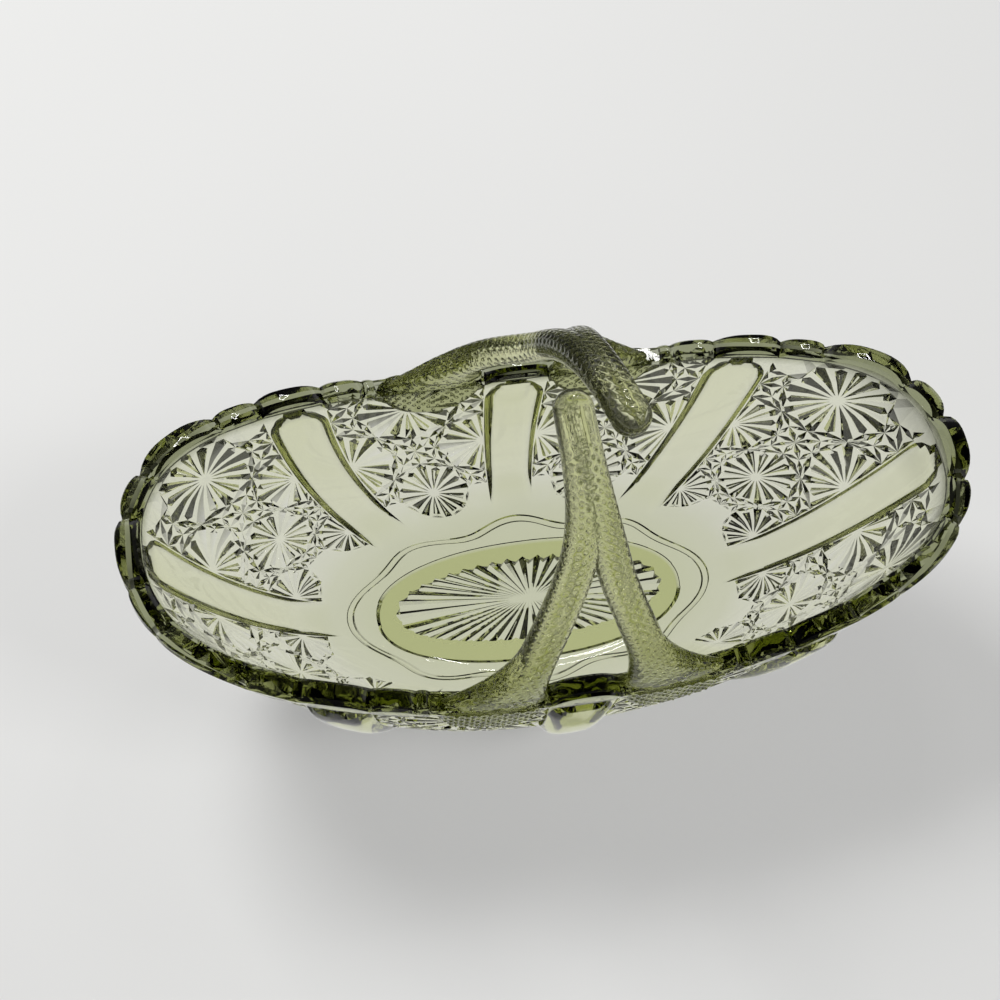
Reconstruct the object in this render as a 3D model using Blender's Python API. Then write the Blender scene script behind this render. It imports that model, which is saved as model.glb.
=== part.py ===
"""Pressed-glass boat basket: an oval bowl with flutes and panels, a scalloped rim and a two-armed handle.

Units are metres, +Z is up, +X runs along the bowl, and the origin is the middle of the foot on the table.
"""
import bmesh
import bpy
import numpy as np
from mathutils.geometry import delaunay_2d_cdt

MM = 0.001

# Fits
BOND_GAP = 0.3 * MM

# Foot and floor
FOOT_HEIGHT = 2.0 * MM
FOOT_WIDTH = 8.0 * MM
FOOT_INSET = 1.5 * MM
FLOOR_HALF_LENGTH = 54.5 * MM
FLOOR_HALF_WIDTH = 23.3 * MM
FLOOR_SQUARENESS = 2.2

# Bowl wall, from the floor's edge to the rim
WALL_THICKNESS = 5.6 * MM
COVE_AT_ENDS = ((0.45, 0.08), (0.78, 0.52))
COVE_AT_SIDES = ((0.82, 0.02), (0.98, 0.45))
SIDE_SPREAD = 1.7

# Rim, measured at the notches in the middle of its band
RIM_HALF_LENGTH = 126.0 * MM
RIM_HALF_WIDTH = 55.0 * MM
RIM_SQUARENESS = 2.5
RIM_THICKNESS = 7.0 * MM
RIM_BAND_HEIGHT = 3.4 * MM
RIM_CHAMFER = 0.9 * MM
RIM_TOP_WIDTH = 6.0 * MM
BOWL_DEPTH = 57.0 * MM
END_RIM_LIFT = 18.7 * MM
END_LIFT_FULLNESS = 0.41

# Scallops, as lengths along the rim and rises above the notches
FLUTE_SCALLOP = 20.5 * MM
NARROW_SCALLOP = 13.3 * MM
LEG_SEAT = 36.0 * MM
WIDE_SCALLOP_RISE = 4.4 * MM
NARROW_SCALLOP_RISE = 2.8 * MM
SMALL_SCALLOP_RISE = 1.0 * MM

# Flutes
FLUTE_TOP_WIDTH = 16.5 * MM
FLUTE_FOOT_WIDTH = 10.5 * MM
SIDE_FLUTE_WIDENING = 1.25
FLUTE_BULGE = 2.6 * MM
FLUTE_FULLNESS = 4.0
FLUTE_END_DROP = 1.5 * MM
FLUTE_END_ROUND = 9.0 * MM
FLUTE_END_FADE = 0.7
FLUTE_EDGE = 0.05
FLUTE_FOOT_FADE = 0.2

# Stars cut into the panels: places and widths are in half widths of a panel, down from its top
STAR_RAYS = 16
STAR_ROWS_AT_ENDS = 4
STAR_ROWS_AT_SIDES = 3
FIRST_STAR = 0.74
STAR_REACH = 0.5**0.5
BUTTON = 0.085
WIDEST_STAR = 25.0 * MM
CUT_RAY = 0.072
CUT_ACROSS = 0.048
CUT_FULLEST = 0.84
CUT_SLOPE = 1.35
CUT_CLEARANCE = 0.02
PLAIN_CLEARANCE = 0.12

# Handle arms: places are measured from the middle of the bowl, heights from the rim at the sides
LEG_WIDTH = 10.6 * MM
LEG_DEPTH = 9.0 * MM
LEG_BASE_WIDTH = 13.0 * MM
LEG_TAPER = 2.0
LEG_LEAN = 0.35
SECTION_SOFTNESS = 0.85
LEG_INSET = 8.5 * MM
SEAT_MARGIN = 1.0 * MM
SEAT_FLARE_HEIGHT = 24.0 * MM
SEAT_FLARE_CURVE = 2.0
STEM_TIP_WIDTH = 11.0 * MM
STEM_TIP_DEPTH = 9.6 * MM
STEM_TIP_ROUND = 5.5 * MM
STEM_TAPER = 2.6
STEM_FORK_SLOPE = 0.52
FORK_OUT = 36.0 * MM
FORK_HEIGHT = 47.0 * MM
STEM_TOP_HEIGHT = 91.5 * MM
FRONT_TIP_REACH = 3.5 * MM
BACK_TIP_REACH = 19.0 * MM
BACK_TIP_SWAY = 4.5 * MM
FRONT_FORK_SWAY = 0.5 * MM
BACK_FORK_SWAY = 5.0 * MM
TIP_WAYS = {-1: (-0.10, 0.80, 0.60), 1: (0.29, -0.95, -0.12)}

# Counts
WALL_ROWS = 9
ROW_CROWDING = 1.5
FLUTE_COLUMNS = 8
PANEL_COLUMNS = 8
SCALLOP_STEPS = 5
LADDER_STEPS = 200
OVAL_STEPS = 4000
SLOPE_STEP = 0.002
MERGE_STEP = 1e-5
FOOT_STEPS = 96
BAR_SIDES = 16
LEG_RINGS = 12
STEM_RINGS = 14
TIP_RINGS = 4
SHARP_ANGLE = 32.0

# Glass
GLASS_ROUGHNESS = 0.04
BODY_COLOUR = (0.62, 0.66, 0.46)
THICK_COLOUR = (0.40, 0.45, 0.20)
RIM_COLOUR = (0.16, 0.19, 0.07)
HANDLE_COLOUR = (0.47, 0.51, 0.31)

FLOOR_TOP = FOOT_HEIGHT + WALL_THICKNESS
SIDE_RIM_HEIGHT = FLOOR_TOP + BOWL_DEPTH
INNER_HALF_LENGTH = RIM_HALF_LENGTH - RIM_THICKNESS / 2
INNER_HALF_WIDTH = RIM_HALF_WIDTH - RIM_THICKNESS / 2

FLUTE_NAMES = (
    "end_right",
    "back_right",
    "back",
    "back_left",
    "end_left",
    "front_left",
    "front",
    "front_right",
)
PANEL_NAMES = (
    "right_back",
    "back_right",
    "back_left",
    "left_back",
    "left_front",
    "front_left",
    "front_right",
    "right_front",
)
FLUTES = len(FLUTE_NAMES)
PERIOD = 1.0 / FLUTES

# A cut's edges as pairs of its points: its lips all round, then the lines down to its bottom
CUT_EDGES = ((0, 1), (1, 2), (2, 3), (3, 0), (0, 4), (4, 2), (1, 4), (4, 3))


def clear_scene():
    for old in list(bpy.data.objects):
        bpy.data.objects.remove(old, do_unlink=True)


def glass(name, colour):
    material = bpy.data.materials.new("glass_" + name)
    material.use_nodes = True
    shader = material.node_tree.nodes["Principled BSDF"]
    shader.inputs["Base Color"].default_value = (*colour, 1.0)
    shader.inputs["Roughness"].default_value = GLASS_ROUGHNESS
    shader.inputs["Metallic"].default_value = 0.0
    shader.inputs["Transmission Weight"].default_value = 1.0
    return material


def add_piece(name, points, faces, colour):
    """Make one closed piece from points and faces, turn its faces outwards and shade it smooth."""
    mesh = bpy.data.meshes.new(name)
    mesh.from_pydata([tuple(point) for point in points], [], faces)
    body = bmesh.new()
    body.from_mesh(mesh)
    bmesh.ops.recalc_face_normals(body, faces=body.faces)
    bmesh.ops.triangulate(body, faces=body.faces)
    body.to_mesh(mesh)
    body.free()
    mesh.shade_smooth()
    mesh.set_sharp_from_angle(angle=np.radians(SHARP_ANGLE))
    piece = bpy.data.objects.new(name, mesh)
    piece.data.materials.append(glass(name, colour))
    bpy.context.scene.collection.objects.link(piece)
    return piece


def unit(vectors):
    return vectors / np.linalg.norm(vectors, axis=-1, keepdims=True)


def oval_outline(half_length, half_width, squareness):
    """A squared oval from +X towards +Y and round, with the girth that is behind each point."""
    turn = np.linspace(0.0, 2.0 * np.pi, OVAL_STEPS + 1)
    x = half_length * np.sign(np.cos(turn)) * np.abs(np.cos(turn)) ** (2.0 / squareness)
    y = half_width * np.sign(np.sin(turn)) * np.abs(np.sin(turn)) ** (2.0 / squareness)
    girth = np.concatenate(([0.0], np.cumsum(np.hypot(np.diff(x), np.diff(y)))))
    return x, y, girth


def oval(half_length, half_width, squareness, share):
    """Points of a squared oval at shares of its girth."""
    x, y, girth = oval_outline(half_length, half_width, squareness)
    along = np.mod(share, 1.0) * girth[-1]
    return np.interp(along, girth, x), np.interp(along, girth, y)


def rim_share(length):
    """The share of the rim's girth that a length takes up."""
    return length / oval_outline(INNER_HALF_LENGTH, INNER_HALF_WIDTH, RIM_SQUARENESS)[2][-1]


def rim_height(x):
    """Height of the notches: level at the sides, lifted towards both ends."""
    reach = (x / INNER_HALF_LENGTH) ** 2
    return SIDE_RIM_HEIGHT + END_RIM_LIFT * reach * (1.0 + END_LIFT_FULLNESS * (1.0 - reach))


def inner_skin(share, climb):
    """Inner wall: a cubic curve from the floor's edge (climb 0) to the rim (climb 1).

    The curve's two middle points are given as shares of its run and rise, at the ends and at the sides.
    """
    floor_x, floor_y = oval(FLOOR_HALF_LENGTH, FLOOR_HALF_WIDTH, FLOOR_SQUARENESS, share)
    rim_x, rim_y = oval(INNER_HALF_LENGTH, INNER_HALF_WIDTH, RIM_SQUARENESS, share)
    sideness = np.clip(1.0 - (rim_x / INNER_HALF_LENGTH) ** 2, 0.0, 1.0) ** SIDE_SPREAD
    ends, sides = np.array(COVE_AT_ENDS), np.array(COVE_AT_SIDES)
    early = 3.0 * climb * (1.0 - climb) ** 2
    late = 3.0 * climb**2 * (1.0 - climb)
    run, rise = [
        early * (ends[0, way] + (sides - ends)[0, way] * sideness)
        + late * (ends[1, way] + (sides - ends)[1, way] * sideness)
        + climb**3
        for way in (0, 1)
    ]
    x = floor_x + (rim_x - floor_x) * run
    y = floor_y + (rim_y - floor_y) * run
    z = FLOOR_TOP + (rim_height(rim_x) - FLOOR_TOP) * rise
    return np.stack([x, y, z], axis=-1)


def skin_slopes(share, climb):
    """Slopes of the inner wall along its girth and up its height."""
    step = SLOPE_STEP
    along = (inner_skin(share + step, climb) - inner_skin(share - step, climb)) / (2.0 * step)
    up = (inner_skin(share, climb + step) - inner_skin(share, climb - step)) / (2.0 * step)
    return along, up


def wall_point(share, climb, depth):
    """A point inside the wall, depth metres outwards from the inner skin."""
    share, climb, depth = np.broadcast_arrays(share, climb, depth)
    along, up = skin_slopes(share, climb)
    return inner_skin(share, climb) + unit(np.cross(along, up)) * depth[..., None]


def girth_share(length, share, climb):
    """The share of the girth that a length takes up at a place on the wall."""
    along, _ = skin_slopes(share, climb)
    return length / np.linalg.norm(along, axis=-1)


def climb_share(length, share):
    """The part of the climb that a length takes up just under the rim."""
    _, up = skin_slopes(share, np.ones_like(share))
    return length / np.linalg.norm(up, axis=-1)


def wall_rows():
    """Steps up a wall column from its foot to its top, closer together towards the rim."""
    return 1.0 - (1.0 - np.linspace(0.0, 1.0, WALL_ROWS + 1)) ** ROW_CROWDING


def flute_half_share(flute, steps):
    """Half of a flute's width at each row, as a share of the girth."""
    middle = np.full(steps.shape, flute * PERIOD)
    width = FLUTE_FOOT_WIDTH + (FLUTE_TOP_WIDTH - FLUTE_FOOT_WIDTH) * steps
    if "end" not in FLUTE_NAMES[flute % FLUTES]:
        width = width * SIDE_FLUTE_WIDENING
    return girth_share(width / 2, middle, steps)


def grid_edge(rows, columns):
    """Rows and columns of the points on a grid's edge, in order round it."""
    edge = [(0, column) for column in range(columns)]
    edge += [(row, columns - 1) for row in range(1, rows)]
    edge += [(rows - 1, column) for column in range(columns - 2, -1, -1)]
    edge += [(row, 0) for row in range(rows - 2, 0, -1)]
    return edge


def slab(name, inner, outer, colour):
    """A closed block between two grids of points that have the same rows and columns."""
    rows, columns = inner.shape[:2]
    points = np.concatenate([inner.reshape(-1, 3), outer.reshape(-1, 3)])
    number = np.arange(rows * columns).reshape(rows, columns)
    far = number + rows * columns
    faces = []
    for row in range(rows - 1):
        for column in range(columns - 1):
            for layer in (number, far):
                a, b = layer[row, column], layer[row, column + 1]
                faces.append((a, b, layer[row + 1, column + 1], layer[row + 1, column]))
    edge = grid_edge(rows, columns)
    for here, there in zip(edge, edge[1:] + edge[:1]):
        faces.append((number[here], number[there], far[there], far[here]))
    return add_piece(name, points, faces, colour)


def loft(name, rings, colour):
    """A closed bar through rings of points, with a flat cap on each end."""
    count = len(rings[0])
    points = np.concatenate(rings)
    faces = [tuple(range(count)), tuple(range((len(rings) - 1) * count, len(rings) * count))]
    for ring in range(len(rings) - 1):
        for side in range(count):
            after = (side + 1) % count
            low, high = ring * count, (ring + 1) * count
            faces.append((low + side, low + after, high + after, high + side))
    return add_piece(name, points, faces, colour)


def wall_limits(place, rows):
    """Left and right limits of a flute, or of the panel that follows it, at each row."""
    half = flute_half_share(place, rows)
    next_half = flute_half_share(place + 1, rows)
    seam = girth_share(BOND_GAP / 2, np.full(rows.shape, place * PERIOD), rows)
    flute = (place * PERIOD - half + seam, place * PERIOD + half - seam)
    panel = (place * PERIOD + half + seam, (place + 1) * PERIOD - next_half - seam)
    return flute, panel


def wall_top(share):
    """The climb at which the wall pieces end under the rim."""
    return 1.0 - climb_share(RIM_BAND_HEIGHT + BOND_GAP, share)


def wall_grid(limits, rows, columns):
    """Shares and climbs of a wall piece's grid points."""
    across = np.linspace(0.0, 1.0, columns + 1)
    share = limits[0][:, None] + (limits[1] - limits[0])[:, None] * across[None, :]
    return share, rows[:, None] * wall_top(share), across


def flute_swell(share, climb, across):
    """Height of a flute's full back: steep at its edges, with a round end under the rim band."""
    _, up = skin_slopes(share, np.ones_like(share))
    below_rim = (1.0 - climb) * np.linalg.norm(up, axis=-1) - RIM_BAND_HEIGHT - FLUTE_END_DROP
    into_end = np.clip(1.0 - below_rim / FLUTE_END_ROUND, 0.0, 1.0)
    half = np.sqrt(np.clip(1.0 - into_end**2, 0.0, None))
    sideways = np.abs(2.0 * across - 1.0)[None, :] / np.maximum(half, FLUTE_EDGE)
    arch = half**FLUTE_END_FADE * np.clip(1.0 - sideways**FLUTE_FULLNESS, 0.0, None)
    foot_fade = np.clip(climb / FLUTE_FOOT_FADE, 0.0, 1.0)
    return FLUTE_BULGE * arch * foot_fade


def panel_ladder(place):
    """Levels down a panel's middle, the way down to each in half widths, and the half widths in metres."""
    level = np.linspace(1.0, 0.0, LADDER_STEPS + 1)
    _, (left, right) = wall_limits(place, level)
    share = (left + right) / 2
    climb = level * wall_top(share)
    along, _ = skin_slopes(share, climb)
    half_width = np.minimum(np.linalg.norm(along, axis=-1) * (right - left) / 2, WIDEST_STAR)
    step = np.linalg.norm(np.diff(wall_point(share, climb, WALL_THICKNESS), axis=0), axis=-1)
    down = np.concatenate(([0.0], np.cumsum(2.0 * step / (half_width[1:] + half_width[:-1]))))
    return level, down, half_width


def star_cuts():
    """Cuts of one star, each five points of (across, down, depth): start, lip, end, lip and bottom.

    Each cut is a V that is deepest along its way and runs out at both ends: the rays, then the star's edges.
    """
    turn = np.arange(STAR_RAYS) * 2.0 * np.pi / STAR_RAYS
    ways = np.stack([np.cos(turn), np.sin(turn)], axis=-1)
    corners = ways[::2] * STAR_REACH
    edge_reach = STAR_REACH * np.cos(2.0 * np.pi / STAR_RAYS) - CUT_ACROSS
    ray_end = np.where(np.arange(STAR_RAYS) % 2 == 0, STAR_REACH, edge_reach)
    start = np.concatenate([ways * BUTTON, corners])
    end = np.concatenate([ways * ray_end[:, None], np.roll(corners, -1, axis=0)])
    edges = np.arange(len(start)) >= STAR_RAYS
    half = np.where(edges, CUT_ACROSS, CUT_RAY)[:, None]
    middle = start + (end - start) * np.where(edges, 0.5, CUT_FULLEST)[:, None]
    lip = unit(end - start) @ np.array([[0.0, 1.0], [-1.0, 0.0]]) * half
    flat = np.stack([start, middle + lip, end, middle - lip, middle], axis=1)
    depth = np.zeros(flat.shape[:2])
    depth[:, -1] = CUT_SLOPE * half[:, 0]
    return np.concatenate([flat, depth[..., None]], axis=-1)


def panel_cuts(rows, bottom):
    """All whole cuts of a panel: rows of stars, one in the middle and then one at each side, in turn."""
    centres = [(col, row) for row in range(rows) for col in (-1, 0, 1) if (row + col) % 2 == 0]
    centres = np.array(centres) + np.array([0.0, FIRST_STAR])
    place = np.concatenate([centres, np.zeros((len(centres), 1))], axis=1)
    star = star_cuts()
    cuts = (place[:, None, None, :] + star[None]).reshape(-1, *star.shape[1:])
    inside = np.abs(cuts[..., 0]) < 1.0 - CUT_CLEARANCE
    inside &= (cuts[..., 1] > CUT_CLEARANCE) & (cuts[..., 1] < bottom - CUT_CLEARANCE)
    return centres, cuts[inside.all(axis=1)]


def carved_panel(name, place, rows):
    """A panel with its stars: a smooth grid inside, and outside a sheet of triangles that keeps every cut.

    The sheet is laid out flat in half widths, joined into triangles and bent onto the wall.
    """
    at_end = PANEL_NAMES[place].startswith(("left", "right"))
    limits = wall_limits(place, rows)[1]
    share, climb, across = wall_grid(limits, rows, PANEL_COLUMNS)
    inner = inner_skin(share, climb)
    level, down, half_width = panel_ladder(place)
    row_down = np.interp(-rows, -level, down)
    edge = np.array(grid_edge(*inner.shape[:2]))
    border = np.stack([2.0 * across[edge[:, 1]] - 1.0, row_down[edge[:, 0]]], axis=-1)
    centres, cuts = panel_cuts(STAR_ROWS_AT_ENDS if at_end else STAR_ROWS_AT_SIDES, down[-1])
    plain = np.stack(np.meshgrid(2.0 * across[1:-1] - 1.0, row_down[1:-1]), axis=-1).reshape(-1, 2)
    away = np.linalg.norm(plain[:, None] - centres[None], axis=-1).min(axis=1)
    plain = plain[away > STAR_REACH + PLAIN_CLEARANCE]
    flat = np.concatenate([border, cuts[..., :2].reshape(-1, 2), plain])
    depth = np.concatenate([np.zeros(len(border)), cuts[..., 2].ravel(), np.zeros(len(plain))])
    ring = np.arange(len(border))
    first = len(border) + cuts.shape[1] * np.arange(len(cuts))
    cut_edges = first[:, None, None] + np.array(CUT_EDGES)[None]
    creases = np.concatenate([np.stack([ring, np.roll(ring, -1)], axis=-1), cut_edges.reshape(-1, 2)])
    places, _, triangles, origins, _, _ = delaunay_2d_cdt(flat.tolist(), creases.tolist(), [], 1, MERGE_STEP)
    source = np.array([group[0] for group in origins])
    sheet = np.array([tuple(point) for point in places])
    sheet_level = np.interp(sheet[:, 1], down, level)
    left, right = wall_limits(place, sheet_level)[1]
    sheet_share = left + (right - left) * (sheet[:, 0] + 1.0) / 2
    sheet_depth = WALL_THICKNESS - depth[source] * np.interp(sheet[:, 1], down, half_width)
    outer = wall_point(sheet_share, sheet_level * wall_top(sheet_share), sheet_depth)
    number = np.arange(inner[..., 0].size).reshape(inner.shape[:2])
    corner = number[:-1, :-1].ravel()
    wide = inner.shape[1]
    faces = [(a, a + 1, a + wide + 1, a + wide) for a in corner]
    faces += [tuple(number.size + np.array(triangle)) for triangle in triangles]
    far = {group: spot for spot, members in enumerate(origins) for group in members}
    near = [number[row, column] for row, column in edge]
    for here, there in zip(ring, np.roll(ring, -1)):
        faces.append((near[here], near[there], number.size + far[there], number.size + far[here]))
    return add_piece(name, np.concatenate([inner.reshape(-1, 3), outer]), faces, BODY_COLOUR)


def build_walls():
    rows = wall_rows()
    for place in range(FLUTES):
        flute, _ = wall_limits(place, rows)
        share, climb, across = wall_grid(flute, rows, FLUTE_COLUMNS)
        outer_depth = WALL_THICKNESS + flute_swell(share, climb, across)
        slab(
            "flute_" + FLUTE_NAMES[place],
            inner_skin(share, climb),
            wall_point(share, climb, outer_depth),
            BODY_COLOUR,
        )
        carved_panel("panel_" + PANEL_NAMES[place], place, rows)


def floor_stations():
    """Shares of the girth at the floor's edge where the wall pieces have their columns."""
    stations = []
    for place in range(FLUTES):
        flute, panel = wall_limits(place, np.zeros(1))
        stations.append(np.linspace(flute[0][0], flute[1][0], FLUTE_COLUMNS + 1))
        stations.append(np.linspace(panel[0][0], panel[1][0], PANEL_COLUMNS + 1)[1:-1])
    return np.concatenate(stations)


def build_base():
    share = floor_stations()
    _, up = skin_slopes(share, np.zeros_like(share))
    back = unit(up) * BOND_GAP
    top = wall_point(share, 0.0, 0.0) - back
    top[:, 2] = FLOOR_TOP
    skirt = wall_point(share, 0.0, WALL_THICKNESS) - back
    x, y = oval(FLOOR_HALF_LENGTH - FOOT_INSET, FLOOR_HALF_WIDTH - FOOT_INSET, FLOOR_SQUARENESS, share)
    under = np.stack([x, y, np.full_like(x, FOOT_HEIGHT)], axis=-1)
    loft("star_base", [top, skirt, under], THICK_COLOUR)


def build_foot():
    share = np.arange(FOOT_STEPS) / FOOT_STEPS
    outer = FLOOR_HALF_LENGTH - FOOT_INSET, FLOOR_HALF_WIDTH - FOOT_INSET
    inner = outer[0] - FOOT_WIDTH, outer[1] - FOOT_WIDTH
    rings = []
    for half_length, half_width, height in (
        (*outer, 0.0),
        (*outer, FOOT_HEIGHT - BOND_GAP),
        (*inner, FOOT_HEIGHT - BOND_GAP),
        (*inner, 0.0),
    ):
        x, y = oval(half_length, half_width, FLOOR_SQUARENESS, share)
        rings.append(np.stack([x, y, np.full_like(x, height)], axis=-1))
    ring_band("foot_ring", rings, THICK_COLOUR)


def ring_band(name, rings, colour):
    """A closed band through rings that come back to the first one."""
    count = len(rings[0])
    faces = []
    for ring in range(len(rings)):
        low, high = ring * count, (ring + 1) % len(rings) * count
        for side in range(count):
            after = (side + 1) % count
            faces.append((low + side, low + after, high + after, high + side))
    return add_piece(name, np.concatenate(rings), faces, colour)


def scallop_limits():
    """Places along a quarter of the rim, from an end to the middle of a side, where scallops meet.

    Each entry is a start, an end and a rise, as shares of the girth and metres.
    """
    flute = rim_share(FLUTE_SCALLOP / 2)
    narrow = rim_share(NARROW_SCALLOP)
    seat = rim_share(LEG_SEAT)
    first, second = PERIOD, 2 * PERIOD
    return [
        (-flute, flute, WIDE_SCALLOP_RISE),
        (flute, flute + narrow, NARROW_SCALLOP_RISE),
        (flute + narrow, first - flute - narrow, WIDE_SCALLOP_RISE),
        (first - flute - narrow, first - flute, NARROW_SCALLOP_RISE),
        (first - flute, first + flute, WIDE_SCALLOP_RISE),
        (first + flute, first + flute + narrow, NARROW_SCALLOP_RISE),
        (first + flute + narrow, second - flute - seat, SMALL_SCALLOP_RISE),
        (second - flute - seat, second - flute, 0.0),
        (second - flute, second + flute, WIDE_SCALLOP_RISE),
    ]


def rim_stations():
    """Shares of the girth, rises above the notches and how far a scallop has swelled, all round the rim."""
    quarter = scallop_limits()
    mirrored = [(0.5 - end, 0.5 - start, height) for start, end, height in reversed(quarter[1:-1])]
    start, end, height = np.array(quarter + mirrored).T[:, :, None]
    steps = np.arange(SCALLOP_STEPS)[None, :] / SCALLOP_STEPS
    share = (start + (end - start) * steps).ravel()
    swell = (np.sign(height) * 4.0 * steps * (1.0 - steps)).ravel()
    rise = np.repeat(height, SCALLOP_STEPS) * swell
    return np.concatenate([share, share + 0.5]), np.tile(rise, 2), np.tile(swell, 2)


def build_rim():
    """Rim band: its top lies square to the wall at the notches and seats, and level on each scallop."""
    share, rise, swell = rim_stations()
    edge = np.ones_like(share)
    along, up = skin_slopes(share, edge)
    lift = unit(up) * rise[:, None]
    shoulder = unit(up) * (rise - RIM_CHAMFER)[:, None]
    outward = unit(np.cross(along, up) * np.array([1.0, 1.0, 0.0]))
    bottom = 1.0 - climb_share(RIM_BAND_HEIGHT, share)

    def top(depth, level_depth):
        square = wall_point(share, edge, depth) + lift
        level = inner_skin(share, edge) + lift + outward * level_depth
        return square + (level - square) * np.sqrt(swell)[:, None]

    rings = [
        wall_point(share, bottom, 0.0),
        wall_point(share, bottom, RIM_THICKNESS),
        wall_point(share, edge, RIM_THICKNESS) + shoulder,
        top(RIM_THICKNESS - RIM_CHAMFER, RIM_TOP_WIDTH),
        top(RIM_CHAMFER, RIM_CHAMFER),
        wall_point(share, edge, 0.0) + shoulder,
    ]
    ring_band("scalloped_rim", rings, RIM_COLOUR)


def round_section(sides):
    """Two rows of factors that draw a soft-cornered section around a bar."""
    turn = np.arange(sides) * 2.0 * np.pi / sides
    across = np.sign(np.cos(turn)) * np.abs(np.cos(turn)) ** SECTION_SOFTNESS
    deep = np.sign(np.sin(turn)) * np.abs(np.sin(turn)) ** SECTION_SOFTNESS
    return across, deep


def hermite(start, start_pull, end, end_pull, steps):
    """A smooth curve between two places with a given pull at each, and its direction."""
    t = steps[:, None]
    curve = (
        (2 * t**3 - 3 * t**2 + 1) * start
        + (t**3 - 2 * t**2 + t) * start_pull
        + (3 * t**2 - 2 * t**3) * end
        + (t**3 - t**2) * end_pull
    )
    slope = (
        (6 * t**2 - 6 * t) * start
        + (3 * t**2 - 4 * t + 1) * start_pull
        + (6 * t - 6 * t**2) * end
        + (3 * t**2 - 2 * t) * end_pull
    )
    return curve, unit(slope)


def bar_rings(centres, tangents, widths, depths, side):
    """Rings around a path: the width axis runs along the bowl, the depth axis away from its middle."""
    across, deep = round_section(BAR_SIDES)
    along_bowl = np.array([-side, 0.0, 0.0])
    width_axis = unit(along_bowl - tangents * (tangents @ along_bowl)[:, None])
    depth_axis = np.cross(width_axis, tangents)
    return [
        centre + np.outer(across, axis_w) * width / 2 + np.outer(deep, axis_d) * depth / 2
        for centre, axis_w, axis_d, width, depth in zip(centres, width_axis, depth_axis, widths, depths)
    ]


def arm_ends(side):
    """Fork and tip of an arm, and the ways that its stem points there."""
    sway, reach, tip_sway = FRONT_FORK_SWAY, FRONT_TIP_REACH, 0.0
    if side > 0:
        sway, reach, tip_sway = BACK_FORK_SWAY, BACK_TIP_REACH, BACK_TIP_SWAY
    pass_by = side * (STEM_TIP_WIDTH + BOND_GAP) / 2
    fork = np.array([sway, side * FORK_OUT, SIDE_RIM_HEIGHT + FORK_HEIGHT])
    tip = np.array([pass_by + tip_sway, -reach, SIDE_RIM_HEIGHT + STEM_TOP_HEIGHT])
    fork_way = unit(np.array([0.0, -side * STEM_FORK_SLOPE, 1.0]))
    tip_way = unit(np.array([*TIP_WAYS[side]]))
    return fork, tip, fork_way, tip_way


def build_stem(name, side):
    fork, tip, fork_way, tip_way = arm_ends(side)
    reach = np.linalg.norm(tip - fork)
    rounding = STEM_TIP_ROUND / reach
    body = np.linspace(0.0, 1.0 - rounding, STEM_RINGS)
    turn = np.linspace(0.0, np.pi / 2, TIP_RINGS + 1)[1:-1]
    steps = np.concatenate([body, 1.0 - rounding + rounding * np.sin(turn)])
    shrink = np.concatenate([np.ones(STEM_RINGS), np.cos(turn)])
    centres, tangents = hermite(fork + fork_way * BOND_GAP / 2, fork_way * reach, tip, tip_way * reach, steps)
    fork_width = 2.0 * LEG_WIDTH + BOND_GAP
    widths = (STEM_TIP_WIDTH + (fork_width - STEM_TIP_WIDTH) * (1.0 - steps) ** STEM_TAPER) * shrink
    depths = (LEG_DEPTH + (STEM_TIP_DEPTH - LEG_DEPTH) * steps) * shrink
    loft(name, bar_rings(centres, tangents, widths, depths, side), HANDLE_COLOUR)


def seat_ring(seat_share):
    """The outline of a leg's foot, laid on the rim a bond above its flat seat."""
    across, deep = round_section(BAR_SIDES)
    share = seat_share + across * rim_share(LEG_SEAT / 2 - SEAT_MARGIN)
    depth = RIM_THICKNESS / 2 + deep * (RIM_THICKNESS / 2 - RIM_CHAMFER)
    _, up = skin_slopes(share, np.ones_like(share))
    return wall_point(share, 1.0, depth) + unit(up) * BOND_GAP


def build_leg(name, side, flute_share, turn):
    """One leg: turn is +1 for the leg that comes after the middle flute, round the rim, and -1 before it."""
    fork, _, fork_way, _ = arm_ends(side)
    seat_share = flute_share + turn * rim_share((FLUTE_SCALLOP + LEG_SEAT) / 2)
    stand_share = seat_share - turn * rim_share(LEG_INSET)
    outline = seat_ring(seat_share)
    start = wall_point(np.array([stand_share]), 1.0, RIM_THICKNESS / 2)[0]
    _, up = skin_slopes(np.array([stand_share]), np.ones(1))
    along_bowl = np.array([-side, 0.0, 0.0])
    end = fork + along_bowl * turn * (LEG_WIDTH + BOND_GAP) / 2 - fork_way * BOND_GAP / 2
    reach = np.linalg.norm(end - start)
    end_way = unit(fork_way - along_bowl * turn * LEG_LEAN)
    steps = np.linspace(0.0, 1.0, LEG_RINGS)
    centres, tangents = hermite(start, unit(up)[0] * reach, end, end_way * reach, steps)
    tangents[-1] = fork_way
    widths = LEG_WIDTH + (LEG_BASE_WIDTH - LEG_WIDTH) * (1.0 - steps) ** LEG_TAPER
    rings = bar_rings(centres, tangents, widths, np.full(LEG_RINGS, LEG_DEPTH), side)
    flare = np.clip(1.0 - steps * reach / SEAT_FLARE_HEIGHT, 0.0, 1.0) ** SEAT_FLARE_CURVE
    blended = [
        ring * (1.0 - share) + (outline + centre - start) * share
        for ring, share, centre in zip(rings, flare, centres)
    ]
    loft(name, blended, HANDLE_COLOUR)


def build_handle():
    for side, arm in ((1, "back"), (-1, "front")):
        build_stem("stem_" + arm, side)
        for turn in (1, -1):
            hand = "left" if turn * side > 0 else "right"
            build_leg("leg_" + arm + "_" + hand, side, FLUTE_NAMES.index(arm) * PERIOD, turn)


clear_scene()
build_foot()
build_base()
build_walls()
build_rim()
build_handle()
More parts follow.
